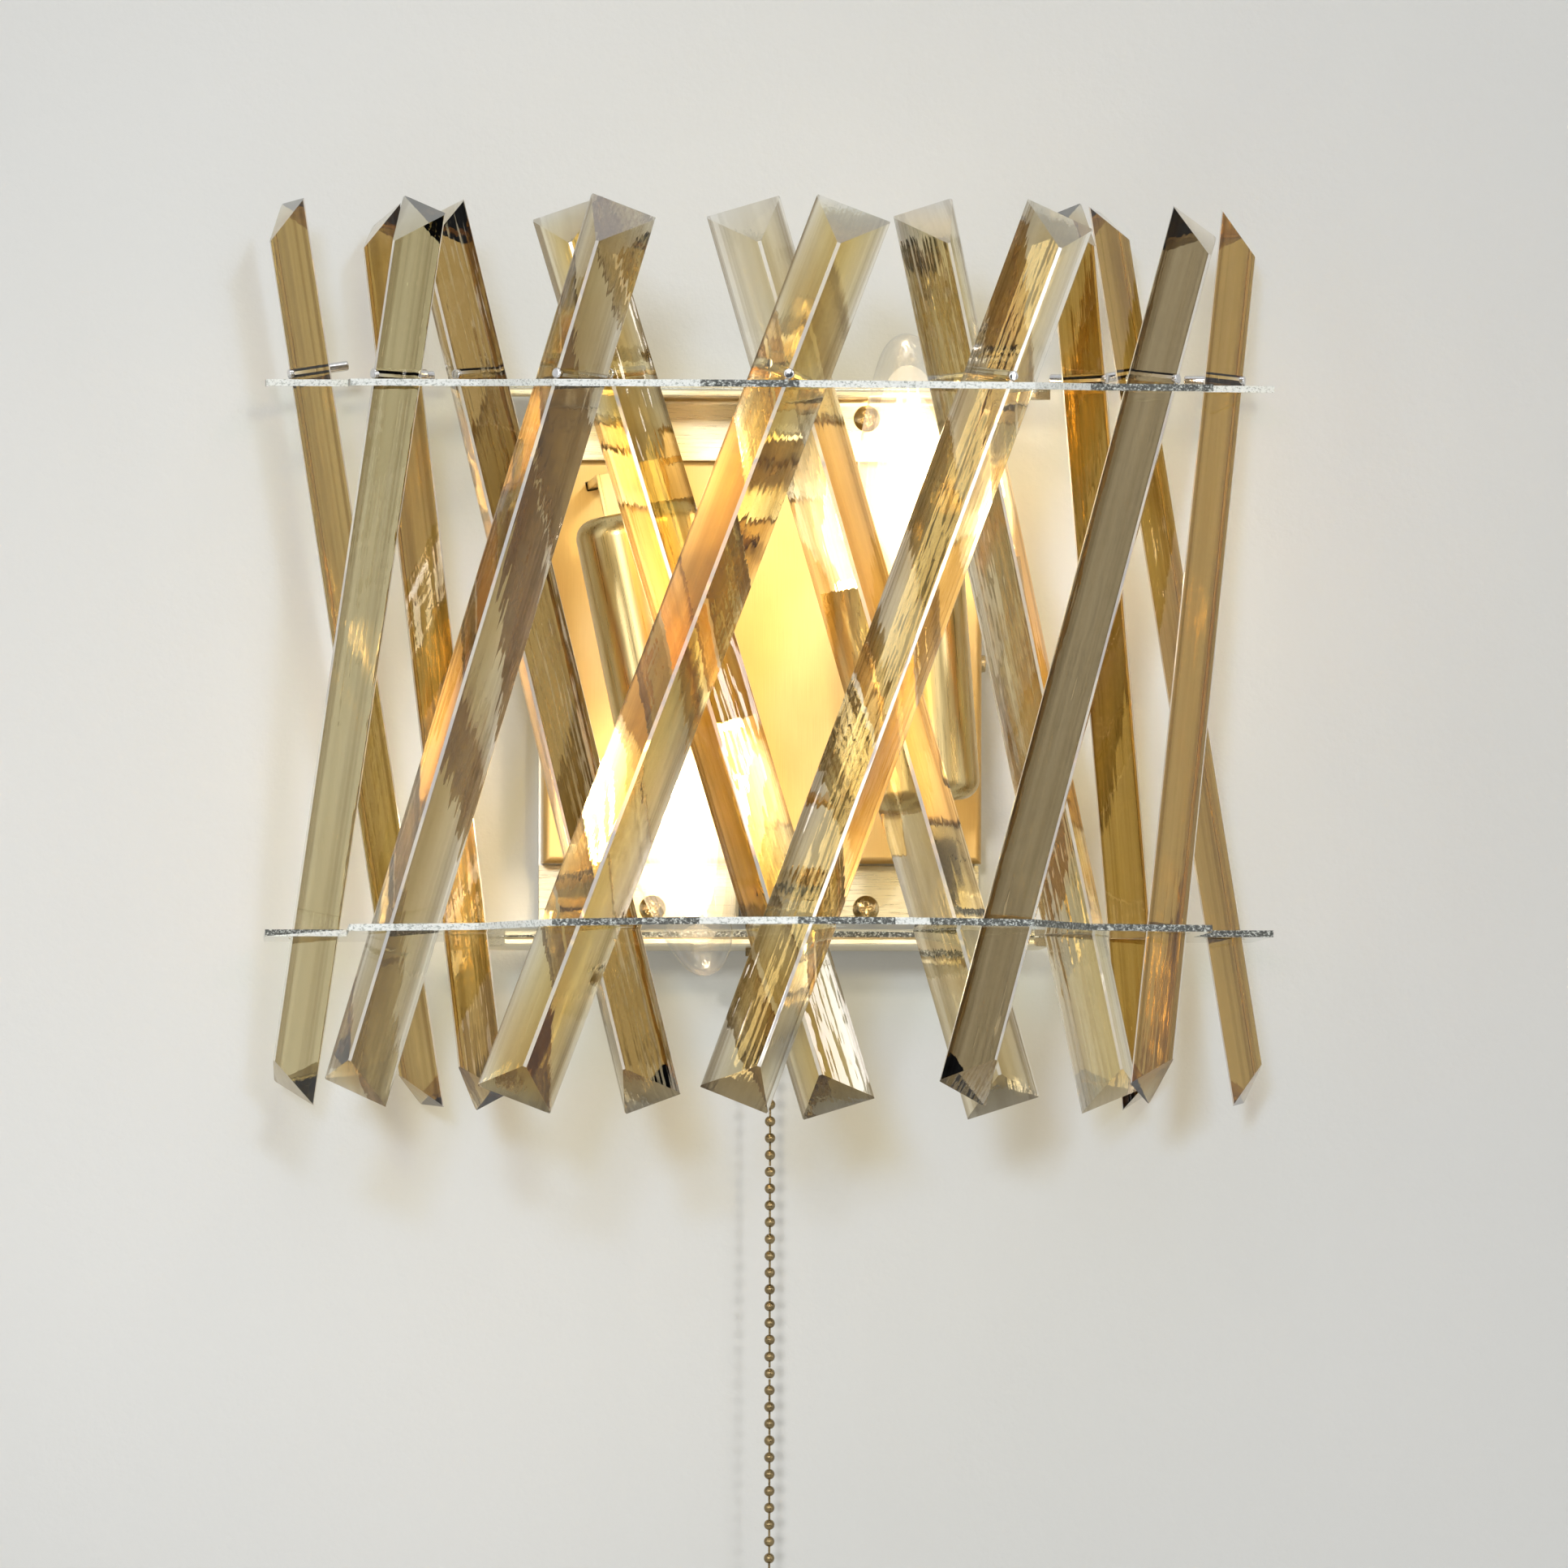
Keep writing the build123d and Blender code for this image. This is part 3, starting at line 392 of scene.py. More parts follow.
def at(x, y, z):
    """A move, in millimetres."""
    return np.array(Matrix.Translation((x, y, z)))


head_radius, head_height, head_rim, rim_bevel, dome_power = 4.0, 2.4, 0.5, 0.15, 2.4
shank_radius, thread_depth, thread_pitch, plain_shank = 2.0, 0.12, 0.7, 0.4
recess_reach, recess_half_width, recess_depth, recess_rise = 2.15, 0.5, 1.5, 0.45
side_slope, end_slope = 0.24, 0.5
screw_sides = 96


def step_up(value):
    """Smooth step: 0 below 0, 1 above 1, and 3 v squared less 2 v cubed between."""
    value = np.clip(value, 0, 1)
    return value * value * (3 - 2 * value)


def cross_recess(points):
    """Depth of the cross recess: two crossing grooves with sloping walls, deepest in the head's middle."""
    across = np.abs(points[:, :2])
    side = step_up((recess_half_width + side_slope / 2 - across) / side_slope)
    end = step_up((recess_reach - across) / end_slope)
    groove = np.maximum(side[:, 0] * end[:, 1], side[:, 1] * end[:, 0])
    from_middle = np.hypot(points[:, 0], points[:, 1])
    depth = recess_depth * (1 - recess_rise * from_middle / recess_reach)
    return np.where(points[:, 2] > head_rim, groove * depth, 0)


def dome_screw(length):
    """Points and faces of a dome head screw on Z = 0 with its shank below. The dome falls with a power of a
    point's share of its radius; the shank's radius goes down and up once in each pitch."""
    shank_z = np.linspace(-length, -plain_shank, 80)
    thread = thread_depth * (2 * np.abs(shank_z / thread_pitch % 1 - 0.5) - 1)
    from_middle = np.linspace(head_radius, 0, 56)
    dome = head_rim + (head_height - head_rim) * (1 - (from_middle / head_radius) ** dome_power)
    radius = np.concatenate([[0], shank_radius + thread, [shank_radius, head_radius - rim_bevel, head_radius],
                             from_middle])
    height = np.concatenate([[-length], shank_z, [0, 0, rim_bevel], dome])
    return turned_points(radius, height, screw_sides, cross_recess), ring_faces(len(radius) - 2, screw_sides)


screw_brass = brass_finish("screw_brass", (0.80, 0.66, 0.40), (0.55, 0.43, 0.24), (0.002, 0.002, 0.002),
                           roughness=(0.2, 0.3), brush_depth=0.000002)
front_of_bracket, short_of_wall = 4.5, 0.2
bracket_screw, (squares, fans) = dome_screw(front_of_bracket - short_of_wall)
# Each screw's X and Z, and how far round it is driven, in degrees.
driven = {(-32.5, 74.5): 12, (32.5, 74.5): 28, (-32.5, -74.5): 35, (32.5, -74.5): 4}
screw_places = [at(x, -front_of_bracket, z) @ about("X", 90) @ about("Z", turn)
                for (x, z), turn in driven.items()]
points, faces = place_all(bracket_screw, squares, fans, screw_places)
add_piece("dome_screws", points, faces, screw_brass, "sconce", ["bracket_screws"])

plate_gap, plate_lean, plate_thickness = 168.4, 3.05, 2.0


def on_glass(side, x, reach):
    """Place on top of the upper (1) or lower (-1) glass plate, at `x` and `reach` from the wall."""
    return at(0, 0, side * plate_gap / 2) @ about("X", side * plate_lean) @ at(x, -reach, plate_thickness / 2)


washer, glass_and_shelf, nut, past_nut = 0.8, 4.5, 3, 1
clamp_x, clamp_reach = 62, 30
clamp_screw, (squares, fans) = dome_screw(washer + glass_and_shelf + nut + past_nut)
clamp_places = [on_glass(side, x, clamp_reach) @ at(0, 0, washer) @ about("Z", 20 * x / clamp_x + 15 * side)
                for side in (1, -1) for x in (-clamp_x, clamp_x)]
points, faces = place_all(clamp_screw, squares, fans, clamp_places)
add_piece("clamp_screws", points, faces, screw_brass, "sconce", ["plate_screws"])
for node in ("plate_washers", "plate_nuts", "arm_screws", "cover_side_screws", "earth_screw"):
    dress(node, screw_brass)


# ---------------------------------------------------------------- glass plates
# Two plates of clear float glass, cut to a many-cornered outline. Their faces are polished, their cut edges
# are ground, with painted light and shade on them: lit and shaded facets with small bright and dark flecks.
def let_lamp_light_through(tree, shader, tint):
    """Lets lamp light pass straight through with a tint, so that it reaches the wall behind the glass."""
    path = tree.nodes.new("ShaderNodeLightPath")
    clear = tree.nodes.new("ShaderNodeBsdfTransparent")
    clear.inputs["Color"].default_value = (*tint, 1)
    mixed = tree.nodes.new("ShaderNodeMixShader")
    tree.links.new(work_out(tree, "MAXIMUM", path.outputs["Is Shadow Ray"], path.outputs["Is Diffuse Ray"]),
                   mixed.inputs[0])
    tree.links.new(shader.outputs[0], mixed.inputs[1])
    tree.links.new(clear.outputs[0], mixed.inputs[2])
    tree.links.new(mixed.outputs[0], tree.nodes["Material Output"].inputs["Surface"])


def outward_normal(tree):
    """The way the outside of the surface faces, also where light meets it from inside the glass."""
    surface = tree.nodes.new("ShaderNodeNewGeometry")
    turned = tree.nodes.new("ShaderNodeVectorMath")
    turned.operation = "SCALE"
    tree.links.new(surface.outputs["True Normal"], turned.inputs[0])
    inside = work_out(tree, "MULTIPLY", surface.outputs["Backfacing"], -2.0)
    tree.links.new(work_out(tree, "ADD", inside, 1.0), turned.inputs["Scale"])
    return turned.outputs[0]


def vector_sum(tree, operation, *values):
    """The result of one sum on vectors or sockets, such as ADD or NORMALIZE."""
    sum_node = tree.nodes.new("ShaderNodeVectorMath")
    sum_node.operation = operation
    for socket, value in zip(sum_node.inputs, values):
        if isinstance(value, bpy.types.NodeSocket):
            tree.links.new(value, socket)
        else:
            socket.default_value = value
    return sum_node.outputs["Value" if operation == "DOT_PRODUCT" else "Vector"]


def share_along(tree, vector, axis):
    """How much of `vector` points along `axis`."""
    return vector_sum(tree, "DOT_PRODUCT", vector, axis)


plate_glass, tree, shader, place = start_finish("float_glass")
shader.inputs["Transmission Weight"].default_value = 1
shader.inputs["IOR"].default_value = 1.52
normal = outward_normal(tree)
upright_share = work_out(tree, "ABSOLUTE", share_along(tree, normal, (0, 0, 1)))
is_edge = spread(tree, upright_share, 1, 0, 0.5, 0.6)
# Painted light and shade: each ground facet is painted lit or shaded at random, picked from the way it faces
# round the plate, and speckled with ground grain and painted glints.
facet_step, shaded_share = 0.02, 0.42
facet = tree.nodes.new("ShaderNodeTexWhiteNoise")
tree.links.new(vector_sum(tree, "SNAP", normal, (facet_step, facet_step, 5)), facet.inputs["Vector"])
is_lit_facet = work_out(tree, "GREATER_THAN", facet.outputs["Value"], shaded_share)
flecks = grain(tree, place, (0.001, 0.001, 0.0007), 4, 0.8)
lit_speckle = spread(tree, flecks, 0, 1, 0.38, 0.5)
lit_facet_colour = blend_colours(tree, lit_speckle, (0.40, 0.43, 0.40), (0.97, 1.0, 0.97))
shaded_speckle = spread(tree, flecks, 0, 1, 0.5, 0.62)
shaded_facet_colour = blend_colours(tree, shaded_speckle, (0.05, 0.055, 0.05), (0.80, 0.84, 0.80))
painted_edge_light = blend_colours(tree, is_lit_facet, shaded_facet_colour, lit_facet_colour)
glass_colour = blend_colours(tree, is_edge, (0.985, 0.995, 0.985), painted_edge_light)
tree.links.new(glass_colour, shader.inputs["Base Color"])
tree.links.new(work_out(tree, "MULTIPLY", is_edge, 0.3), shader.inputs["Roughness"])
tree.links.new(work_out(tree, "SUBTRACT", 1.0, work_out(tree, "MULTIPLY", is_edge, 0.85)),
               shader.inputs["Transmission Weight"])
emboss(tree, shader, work_out(tree, "MULTIPLY", is_edge, flecks), 0.0003)
let_lamp_light_through(tree, shader, (0.93, 0.96, 0.94))
dress("upper_glass_plate", plate_glass)
dress("lower_glass_plate", plate_glass)


# ---------------------------------------------------------------- terminal block
# Moulded block with three ways where the wires are joined, hidden in the cover, and the lamps' holders, all
# of matt heat proof plastic.
white_plastic = moulded_finish("white_plastic", (0.68, 0.67, 0.62), (0.74, 0.73, 0.68), 0.01, 0.5, 0.0004)
for node in ("terminal_block", "left_lamp_socket", "right_lamp_socket"):
    dress(node, white_plastic)


# ---------------------------------------------------------------- lamp arms and sleeves
# A bent brass strap from the wall plate carries each lamp: the left one hangs, the right one stands. The
# holder hides in a turned brass sleeve, satin finished along its length and rounded at its closed end.
lamp_turns = {"left_": -11.7, "right_": 180 - 4.3}
for side, turn in lamp_turns.items():
    lean = (0, np.radians(turn), 0)
    sleeve_brass = brass_finish(side + "sleeve_brass", (0.74, 0.58, 0.28), (0.56, 0.42, 0.18),
                                (0.0004, 0.0004, 0.03), lean, (0.25, 0.36), 0.00001)
    dress(side + "lamp_sleeve", sleeve_brass)
    dress(side + "lamp_arm", sleeve_brass)


# ---------------------------------------------------------------- bulbs
# Clear candle bulbs: blown glass on a metal cap, with four light sticks on a glass stem. They are lit, and
# so bright that only the clear tip of the glass shows as glass.
cap_metal, tree, shader, place = start_finish("bulb_cap_metal")
shader.inputs["Metallic"].default_value = 1
cap_grain = even_grain(tree, place, 0.002)
tree.links.new(blend_colours(tree, spread(tree, cap_grain, 0, 1), (0.60, 0.59, 0.56), (0.72, 0.71, 0.68)),
               shader.inputs["Base Color"])
tree.links.new(spread(tree, cap_grain, 0.25, 0.4), shader.inputs["Roughness"])
dress("left_bulb_cap", cap_metal)
dress("right_bulb_cap", cap_metal)

glow_colour, stick_light, glass_light = (1.0, 0.80, 0.52), 27, 0.35
stick_finish, tree, shader, place = start_finish("lit_sticks")
coating = even_grain(tree, place, 0.001)
tree.links.new(blend_colours(tree, spread(tree, coating, 0, 1), (0.9, 0.62, 0.2), (1, 0.72, 0.3)),
               shader.inputs["Base Color"])
shader.inputs["Emission Color"].default_value = (1.0, 0.82, 0.55, 1)
shader.inputs["Emission Strength"].default_value = stick_light
dress("left_bulb_filaments", stick_finish)
dress("right_bulb_filaments", stick_finish)

# A lamp is placed by its sleeve's closed end: sideways, out from the wall, and up or down from the middle.
# Its bulb is shaped hanging down from there.
lamp_spread, lamp_reach, lamp_height = 48.0, 72.0, 42.0
neck_z, widest_z, tip_z = -67.3, -90.3, -138.3
neck_radius, bulb_radius, waist = 10.0, 17.5, 0.13
lid_share, lid_sink = 0.9, 0.2
clear_to, glow_from = -130 * mm, -100 * mm        # up the lamp, from its clear tip to the full glow
glow_sink, tip_draw = 0.5, 1.4
bulb_sides = 64


def candle_profile(steps):
    """Radius and height from the round tip to the neck, which a lid closes. Below the widest place the
    radius follows a quarter ellipse drawn in at the waist; above it, half a cosine wave narrows it."""
    angle = np.linspace(0, np.pi / 2, steps)
    taper_z = tip_z + (widest_z - tip_z) * (1 - np.cos(angle))
    drawn_in = waist * np.sin(2 * angle) ** 2
    taper_radius = bulb_radius * np.sin(angle) * (1 - drawn_in)
    rise = np.linspace(0, 1, steps // 2)[1:]
    shoulder_z = widest_z + (neck_z - widest_z) * rise
    shoulder_radius = neck_radius + (bulb_radius - neck_radius) * (0.5 + 0.5 * np.cos(np.pi * rise))
    radius = np.concatenate([taper_radius, shoulder_radius, [neck_radius * lid_share, 0]])
    height = np.concatenate([taper_z, shoulder_z, [neck_z - lid_sink, neck_z - lid_sink]])
    return radius, height


def glow_points(radius, height, share):
    """Skin of the glow round the lit sticks: the bulb's own profile with its radius times `share`. Its tip
    is drawn in by `tip_draw` times as large a share, and its top lies just below the neck."""
    inside = tip_z + tip_draw * (1 - share) * (widest_z - tip_z)
    heights = inside + (height - tip_z) * (neck_z - glow_sink - inside) / (neck_z - tip_z)
    return turned_points(radius * share, heights, bulb_sides)


def add_light(tree, skin, strength):
    """The surface is `skin` and a glow of `strength`, a number or socket, added to it."""
    light = tree.nodes.new("ShaderNodeEmission")
    light.inputs["Color"].default_value = (*glow_colour, 1)
    if isinstance(strength, bpy.types.NodeSocket):
        tree.links.new(strength, light.inputs["Strength"])
    else:
        light.inputs["Strength"].default_value = strength
    whole = tree.nodes.new("ShaderNodeAddShader")
    tree.links.new(skin.outputs[0], whole.inputs[0])
    tree.links.new(light.outputs[0], whole.inputs[1])
    tree.links.new(whole.outputs[0], tree.nodes["Material Output"].inputs["Surface"])


def glow_finish(strength):
    """Light that adds to what is behind it and hides nothing."""
    finish, tree, shader, _ = start_finish("glow")
    add_light(tree, tree.nodes.new("ShaderNodeBsdfTransparent"), strength)
    tree.nodes.remove(shader)
    return finish


def bulb_finish(name, lamp_place, turn):
    """Thin clear glass of the lamp at `lamp_place`, turned by `turn` degrees. Its gloss grows towards the
    rim, and it glows faintly all but at the tip."""
    finish, tree, shader, place = start_finish(name)
    nodes = tree.nodes
    on_lamp = nodes.new("ShaderNodeMapping")
    on_lamp.vector_type = "TEXTURE"
    on_lamp.inputs["Location"].default_value = lamp_place[:3, 3] * mm
    on_lamp.inputs["Rotation"].default_value = (0, np.radians(turn), 0)
    tree.links.new(place, on_lamp.inputs["Vector"])
    height_on_lamp = share_along(tree, on_lamp.outputs["Vector"], (0, 0, 1))
    glow = nodes.new("ShaderNodeMapRange")
    glow.interpolation_type = "SMOOTHSTEP"
    glow.inputs["From Min"].default_value = clear_to
    glow.inputs["From Max"].default_value = glow_from
    glow.inputs["To Max"].default_value = glass_light
    tree.links.new(height_on_lamp, glow.inputs["Value"])
    clear = nodes.new("ShaderNodeBsdfTransparent")
    clear.inputs["Color"].default_value = (0.97, 0.97, 0.965, 1)
    gloss = nodes.new("ShaderNodeBsdfGlossy")
    gloss.inputs["Roughness"].default_value = 0.03
    ripple = nodes.new("ShaderNodeBump")
    ripple.inputs["Distance"].default_value = 0.0002
    tree.links.new(grain(tree, place, (0.006, 0.006, 0.012)), ripple.inputs["Height"])
    tree.links.new(ripple.outputs[0], gloss.inputs["Normal"])
    rim = work_out(tree, "POWER", nodes.new("ShaderNodeLayerWeight").outputs["Facing"], 3.0)
    rim = work_out(tree, "ADD", work_out(tree, "MULTIPLY", rim, 0.7), 0.07)
    skin = nodes.new("ShaderNodeMixShader")
    tree.links.new(rim, skin.inputs[0])
    tree.links.new(clear.outputs[0], skin.inputs[1])
    tree.links.new(gloss.outputs[0], skin.inputs[2])
    add_light(tree, skin, glow.outputs[0])
    nodes.remove(shader)
    return finish


radius, height = candle_profile(40)
bulb_points = turned_points(radius, height, bulb_sides)
squares, fans = ring_faces(len(radius) - 2, bulb_sides)
glow_shells = ((0.62, 1.2), (0.74, 0.3), (0.86, 0.15))       # share of the bulb's radius, and strength
for side, word in ((1, "left_"), (-1, "right_")):
    turn = lamp_turns[word]
    lamp_place = at(-side * lamp_spread, -lamp_reach, side * lamp_height) @ about("Y", turn)
    points, faces = place_all(bulb_points, squares, fans, [lamp_place])
    add_piece(word + "bulb", points, faces, bulb_finish(word + "lit_bulb_glass", lamp_place, turn), "sconce",
              [word + "bulb_glass"])
    for number, (share, strength) in enumerate(glow_shells, 1):
        points, faces = place_all(glow_points(radius, height, share), squares, fans, [lamp_place])
        add_piece(f"{word}glow_{number}", points, faces, glow_finish(strength), "sconce")


# ---------------------------------------------------------------- wiring cover
# A shallow tray folded from brass sheet, brushed upright and lacquered, that hides the wiring. Two small
# screws in its sides hold it to the wall plate.
cover_brass = brass_finish("cover_brass", (0.67, 0.48, 0.22), (0.52, 0.35, 0.14), (0.0002, 0.0004, 0.014),
                           roughness=(0.4, 0.52))
dress("wiring_cover", cover_brass)


# ---------------------------------------------------------------- crystal bars
# Fourteen long three-sided bars of champagne crystal, cut, ground and polished with bevelled ends. Seven
# hang in the outer row and seven, leaning the other way, in the inner one.
crystal_ior, colour_depth = 1.53, 300
# Painted shade: the dark bands begin, and reach their full darkness, at these distances.
shade_band_start, shade_band_full = 6 * mm, 9.5 * mm          # from the bar's middle line
strip_lean = 0.06
wave_depth, swell_depth, ripple_depth = 0.08 * mm, 0.14 * mm, 0.005 * mm


def crystal_finish(name, tint, axes, middle, start):
    """Polished crystal that takes on `tint` with the length of the way through it, with `axes` the bar's
    width, depth and length and `middle` its middle. `start` moves the noise along. The faces carry faint
    waves drawn out along the bar, and narrow strips that lean a little to and fro along it, which break
    what shows through into small steps. Painted shade lies in dark bands, with clear ones between, along
    the two sides. The narrow flats on the long edges are only ground. The cut ends are painted dark as
    painted shade; the upper ones are painted pale instead, a painted reflection, and partly mirror the room."""
    crystal, tree, shader, place = start_finish(name)
    shader.inputs["Roughness"].default_value = 0
    shader.inputs["IOR"].default_value = crystal_ior
    colouring = tree.nodes.new("ShaderNodeVolumeAbsorption")
    colouring.inputs["Color"].default_value = (*tint, 1)
    colouring.inputs["Density"].default_value = colour_depth
    tree.links.new(colouring.outputs[0], tree.nodes["Material Output"].inputs["Volume"])
    width, depth, length = axes
    middle_across = float((middle + start) @ width)
    turn = tuple(Matrix(np.array(axes).T).to_euler())
    place = vector_sum(tree, "ADD", place, start)
    normal = outward_normal(tree)
    # The flats on the long edges face straight out or sideways, the ends slant.
    front_flat = work_out(tree, "GREATER_THAN", share_along(tree, normal, depth), 0.96)
    to_side = work_out(tree, "ABSOLUTE", share_along(tree, normal, width))
    side_flat = work_out(tree, "GREATER_THAN", to_side, 0.85)
    is_flat = work_out(tree, "MAXIMUM", front_flat, side_flat)
    along = work_out(tree, "ABSOLUTE", share_along(tree, normal, length))
    is_end = work_out(tree, "MULTIPLY", work_out(tree, "GREATER_THAN", along, 0.3),
                      work_out(tree, "LESS_THAN", along, 0.8))
    upward = work_out(tree, "GREATER_THAN", share_along(tree, normal, (0, 0, 1)), 0)
    is_top = work_out(tree, "MULTIPLY", is_end, upward)
    # Painted shade: dark bands, with clear ones between, painted along the bar and set in towards its two
    # outer edges.
    across = work_out(tree, "SUBTRACT", share_along(tree, place, width), middle_across)
    shade_bands = spread(tree, grain(tree, place, (0.0024, 1, 1.5), 3, 0.65, turn), 0, 1, 0.42, 0.56)
    band_shade_colour = blend_colours(tree, shade_bands, (0.34, 0.27, 0.17), (1, 1, 1))
    cloud = grain(tree, place, (0.003, 0.02, 0.09), 2, 0.5, turn)
    colour = blend_colours(tree, spread(tree, cloud, 0, 1), (0.82, 0.78, 0.69), (0.98, 0.97, 0.95))
    is_outer = spread(tree, work_out(tree, "ABSOLUTE", across), 0.1, 0.85, shade_band_start, shade_band_full)
    colour = blend_colours(tree, is_outer, colour, band_shade_colour)
    colour = blend_colours(tree, is_flat, colour, (1, 1, 1))
    # Painted shade and light on the cut ends: all are painted dark brown as painted shade, and the upper ones
    # pale, as a painted reflection of the bright room above.
    colour = blend_colours(tree, is_end, colour, (0.50, 0.43, 0.32))
    colour = blend_colours(tree, is_top, colour, (0.90, 0.90, 0.88))
    tree.links.new(colour, shader.inputs["Base Color"])
    tree.links.new(work_out(tree, "SUBTRACT", 1.0, work_out(tree, "MULTIPLY", is_flat, 0.5)),
                   shader.inputs["Transmission Weight"])
    mirror = work_out(tree, "ADD", work_out(tree, "MULTIPLY", is_top, 0.3), 0.03)
    tree.links.new(mirror, shader.inputs["Metallic"])
    # Narrow strips lean to and fro, and three sizes of waves lie over them.
    strips = grain(tree, place, (0.0005, 0.0005, 0.05), 1, 0.6, turn)
    to_and_fro = work_out(tree, "MULTIPLY", work_out(tree, "SUBTRACT", strips, 0.5), strip_lean)
    surface = tree.nodes.new("ShaderNodeNewGeometry").outputs["Normal"]
    leaning = vector_sum(tree, "MULTIPLY_ADD", length, to_and_fro, surface)
    tree.links.new(vector_sum(tree, "NORMALIZE", leaning), shader.inputs["Normal"])
    emboss(tree, shader, grain(tree, place, (0.004, 0.004, 0.06), 2, 0.6, turn), wave_depth)
    emboss(tree, shader, even_grain(tree, place, 0.014), swell_depth)
    emboss(tree, shader, grain(tree, place, (0.0009, 0.0009, 0.03), 2, 0.6, turn), ripple_depth)
    let_lamp_light_through(tree, shader, (0.93, 0.91, 0.88))
    return crystal


def bar_axes(points):
    """A bar's own axes, and its middle. Its length is the direction in which its points spread most. Its
    depth is the one in which they spread least, and points away from the wall plate's middle. Its width
    stands square to both."""
    middle = points.mean(0)
    length, _, depth = np.linalg.svd(points - middle, full_matrices=False)[2]
    depth = depth * np.sign(depth[:2] @ middle[:2])
    return (np.cross(depth, length), depth, length), middle


outer_tints = [(0.87, 0.79, 0.52), (0.92, 0.89, 0.77), (0.77, 0.68, 0.39), (0.91, 0.80, 0.37),
               (0.92, 0.86, 0.66), (0.86, 0.81, 0.69), (0.89, 0.80, 0.52)]
inner_tints = [(0.88, 0.79, 0.52), (0.86, 0.77, 0.53), (0.93, 0.83, 0.46), (0.96, 0.92, 0.78),
               (0.93, 0.87, 0.65), (0.90, 0.80, 0.48), (0.88, 0.79, 0.49)]
for row, tints in (("outer", outer_tints), ("inner", inner_tints)):
    for number, tint in enumerate(tints, 1):
        node = f"{row}_crystal_{number}"
        axes, middle = bar_axes(mesh_points(node))
        start = np.array((0, 0, 0.31 * number))     # gives each bar its own part of the noise
        dress(node, crystal_finish(node + "_tint", tint, axes, middle, start))


# ---------------------------------------------------------------- hanging pins
# Short polished steel pins with rounded ends, one pushed through a cross hole in each bar. They rest on the
# upper glass plate and carry the bars.
polished, tree, shader, place = start_finish("polished_steel")
shader.inputs["Metallic"].default_value = 1
fine = even_grain(tree, place, 0.0006)
tree.links.new(spread(tree, fine, 0.06, 0.16), shader.inputs["Roughness"])
tree.links.new(blend_colours(tree, spread(tree, fine, 0, 1), (0.66, 0.66, 0.67), (0.78, 0.78, 0.79)),
               shader.inputs["Base Color"])
emboss(tree, shader, even_grain(tree, place, 0.0002), 0.000003)

pin_count = 14
pin_points = mesh_points("hanging_pins").reshape(pin_count, -1, 3) / mm
pin_places = []
for one_pin in pin_points:
    middle = one_pin.mean(0)
    axes = np.linalg.svd(one_pin - middle, full_matrices=False)[2]
    place_of_pin = np.eye(4)
    place_of_pin[:3, :3] = np.array([axes[1], np.cross(axes[0], axes[1]), axes[0]]).T
    place_of_pin[:3, 3] = middle
    pin_places.append(place_of_pin)
    pin_length = np.ptp((one_pin - middle) @ axes[0])        # the same for all pins
pin_radius, pin_round, pin_sides = 1.5, 0.45, 40
angle = np.linspace(0, np.pi / 2, 8)
end_radius = pin_radius - pin_round + pin_round * np.sin(angle)
end_height = pin_round * (1 - np.cos(angle))
radius = np.concatenate([[0], end_radius, end_radius[::-1], [0]])
height = np.concatenate([[0], end_height, pin_length - end_height[::-1], [pin_length]]) - pin_length / 2
points, faces = place_all(turned_points(radius, height, pin_sides), *ring_faces(len(radius) - 2, pin_sides),
                          pin_places)
add_piece("round_ended_pins", points, faces, polished, "sconce", ["hanging_pins"])


# ---------------------------------------------------------------- pull switch
# A black moulded switch on the lower glass plate. Its threaded brass bush passes through the glass and the
# shelf, with a nut below, and guides the pull link.
dress("pull_switch",
      moulded_finish("black_plastic", (0.02, 0.02, 0.02), (0.035, 0.035, 0.035), 0.004, 0.45, 0.0003))
antique_brass = brass_finish("antique_brass", (0.36, 0.27, 0.13), (0.14, 0.10, 0.05),
                             (0.0012, 0.0012, 0.0012), roughness=(0.2, 0.38))
for node in ("switch_bush", "switch_nut", "pull_link", "pull_knob"):
    dress(node, antique_brass)


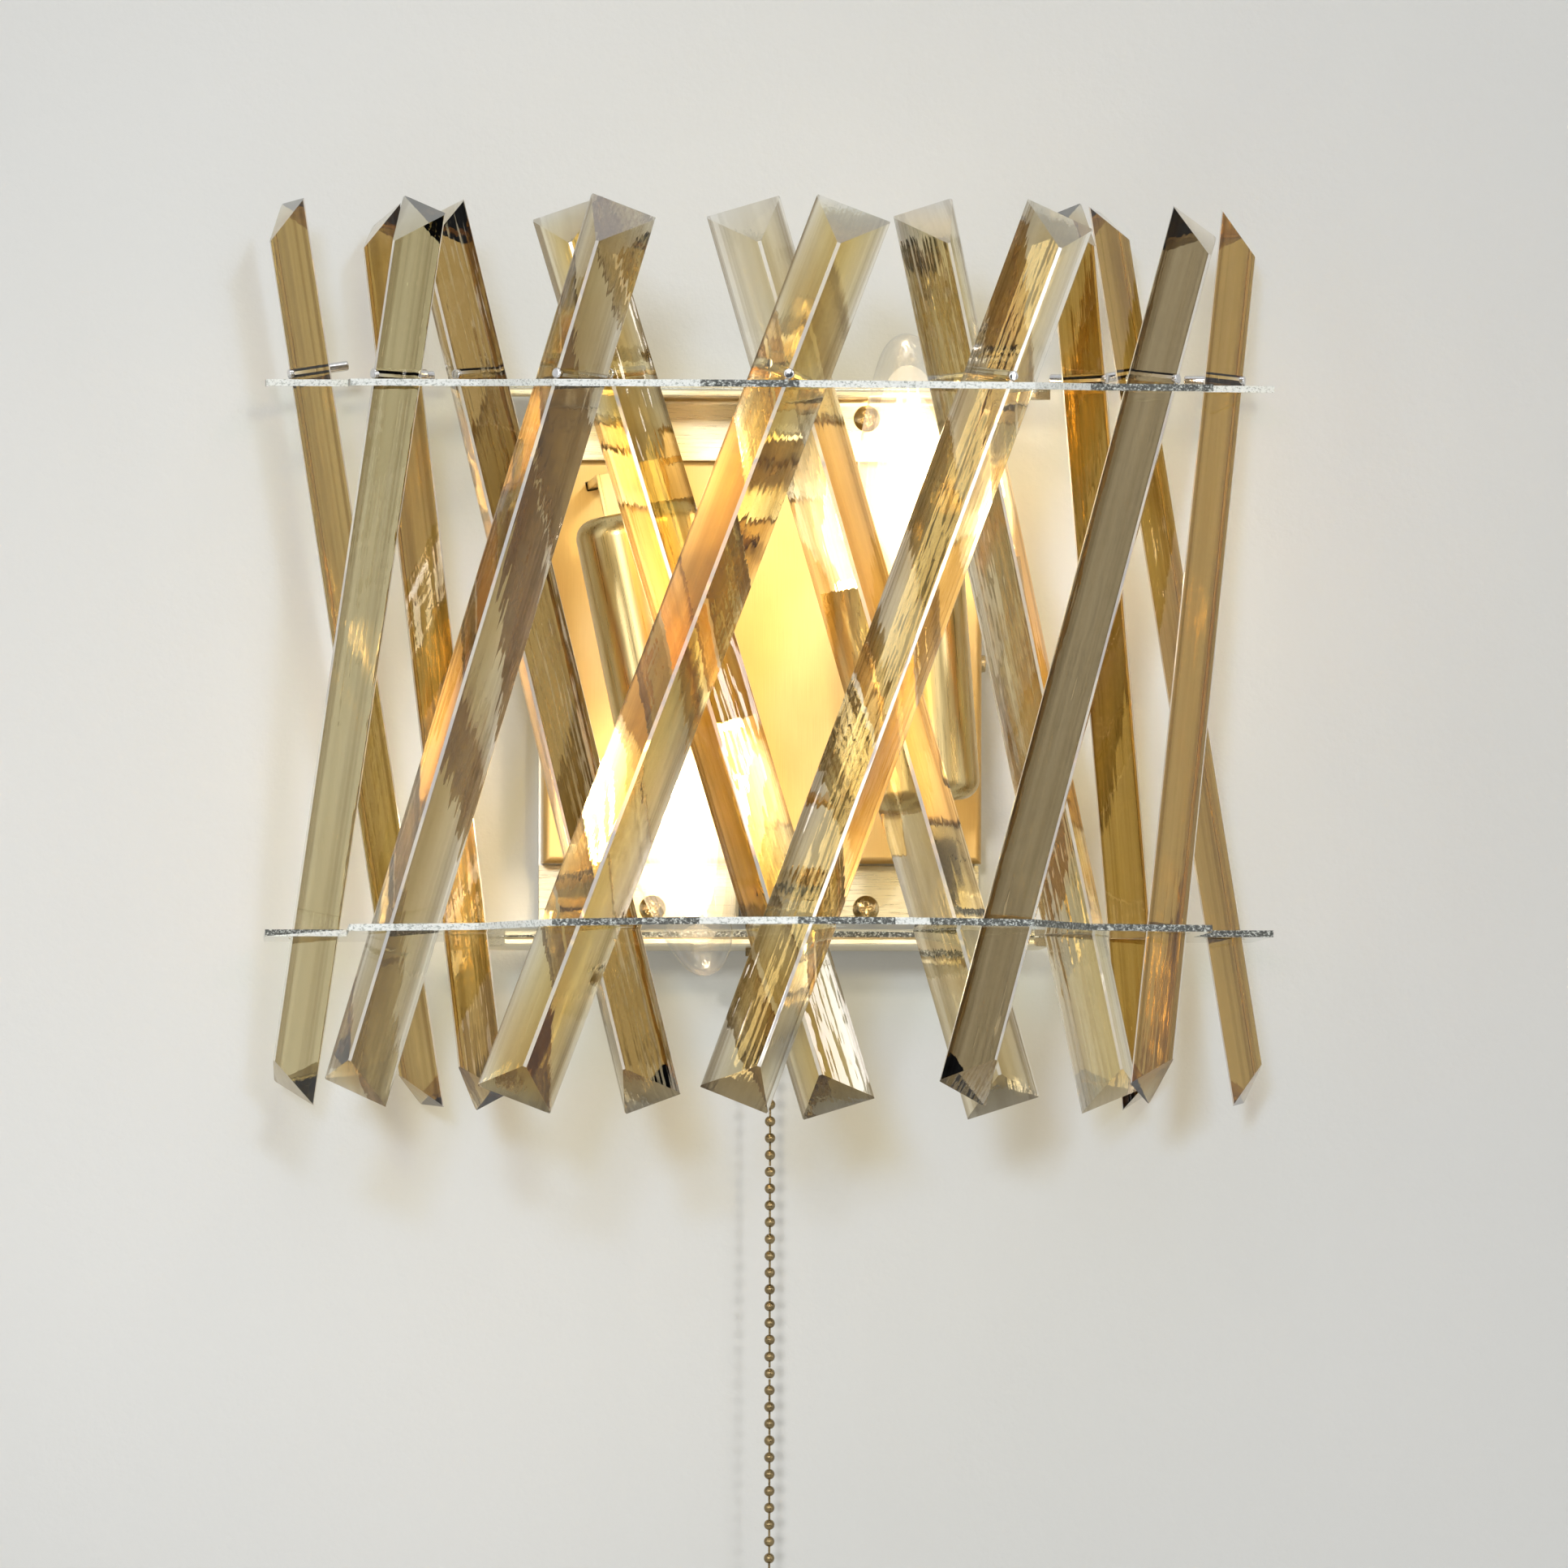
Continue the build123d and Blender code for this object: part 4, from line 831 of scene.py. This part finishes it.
# ---------------------------------------------------------------- bead chain
# Hollow antique brass beads, pinched round short lengths of wire with a small gap between them. Three beads
# are the places where the chain bends.
bead_radius, bead_pitch, wire_radius, chain_sides = 1.6, 5.04, 0.33, 24
bead_hole, lip_radius, lip_height, half_wire = 0.62, 0.5, 0.06, 1.5
first_bead_z, most_beads = -92.6895, 50


def chain_profile(low, high, bead_heights):
    """Radius and height up a length of chain: wire, and at each bead a ball with a small flat lip where the
    wire goes in."""
    half = np.linspace(-1, 1, 15) * np.arccos(bead_hole / bead_radius)
    ball_radius = bead_radius * np.cos(half)
    ball_height = bead_radius * np.sin(half)
    one_radius = np.concatenate([[wire_radius, lip_radius], ball_radius, [lip_radius, wire_radius]])
    one_height = np.concatenate([ball_height[:1] + [lip_height, 0.0], ball_height,
                                 ball_height[-1:] + [0.0, -lip_height]])
    heights = (np.array(bead_heights)[:, None] + one_height).ravel()
    radii = np.tile(one_radius, len(bead_heights))
    radius = np.concatenate([[0, wire_radius], radii, [wire_radius, 0]])
    height = np.concatenate([[low, low], heights, [high, high]])
    return radius, height


chain_bodies = {"upper_chain": "upper_length", "middle_chain": "middle_length", "lower_chain": "lower_length",
                "upper_bending_bead": "upper_bead", "middle_bending_bead": "middle_bead",
                "lower_bending_bead": "lower_bead"}
all_beads = first_bead_z - np.arange(0, most_beads) * bead_pitch
end_room = bead_radius * 0.9
for node, body in chain_bodies.items():
    low, high = (np.array(corner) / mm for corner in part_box(node))
    x, y = (low[:2] + high[:2]) / 2
    if node.endswith("bead"):
        middle_z = (low[2] + high[2]) / 2
        radius, height = chain_profile(middle_z - half_wire, middle_z + half_wire, [middle_z])
        # The bead alone, without the wire on either side, closed at both ends.
        radius = np.concatenate([[0], radius[2:-2], [0]])
        height = np.concatenate([height[2:3], height[2:-2], height[-3:-2]])
    else:
        beads = all_beads[(all_beads > low[2] + end_room) & (all_beads < high[2] - end_room)][::-1]
        radius, height = chain_profile(low[2], high[2], beads)
    points, faces = place_all(turned_points(radius, height, chain_sides),
                              *ring_faces(len(radius) - 2, chain_sides), [at(x, y, 0)])
    add_piece(node + "_brass", points, faces, antique_brass, body, [node])
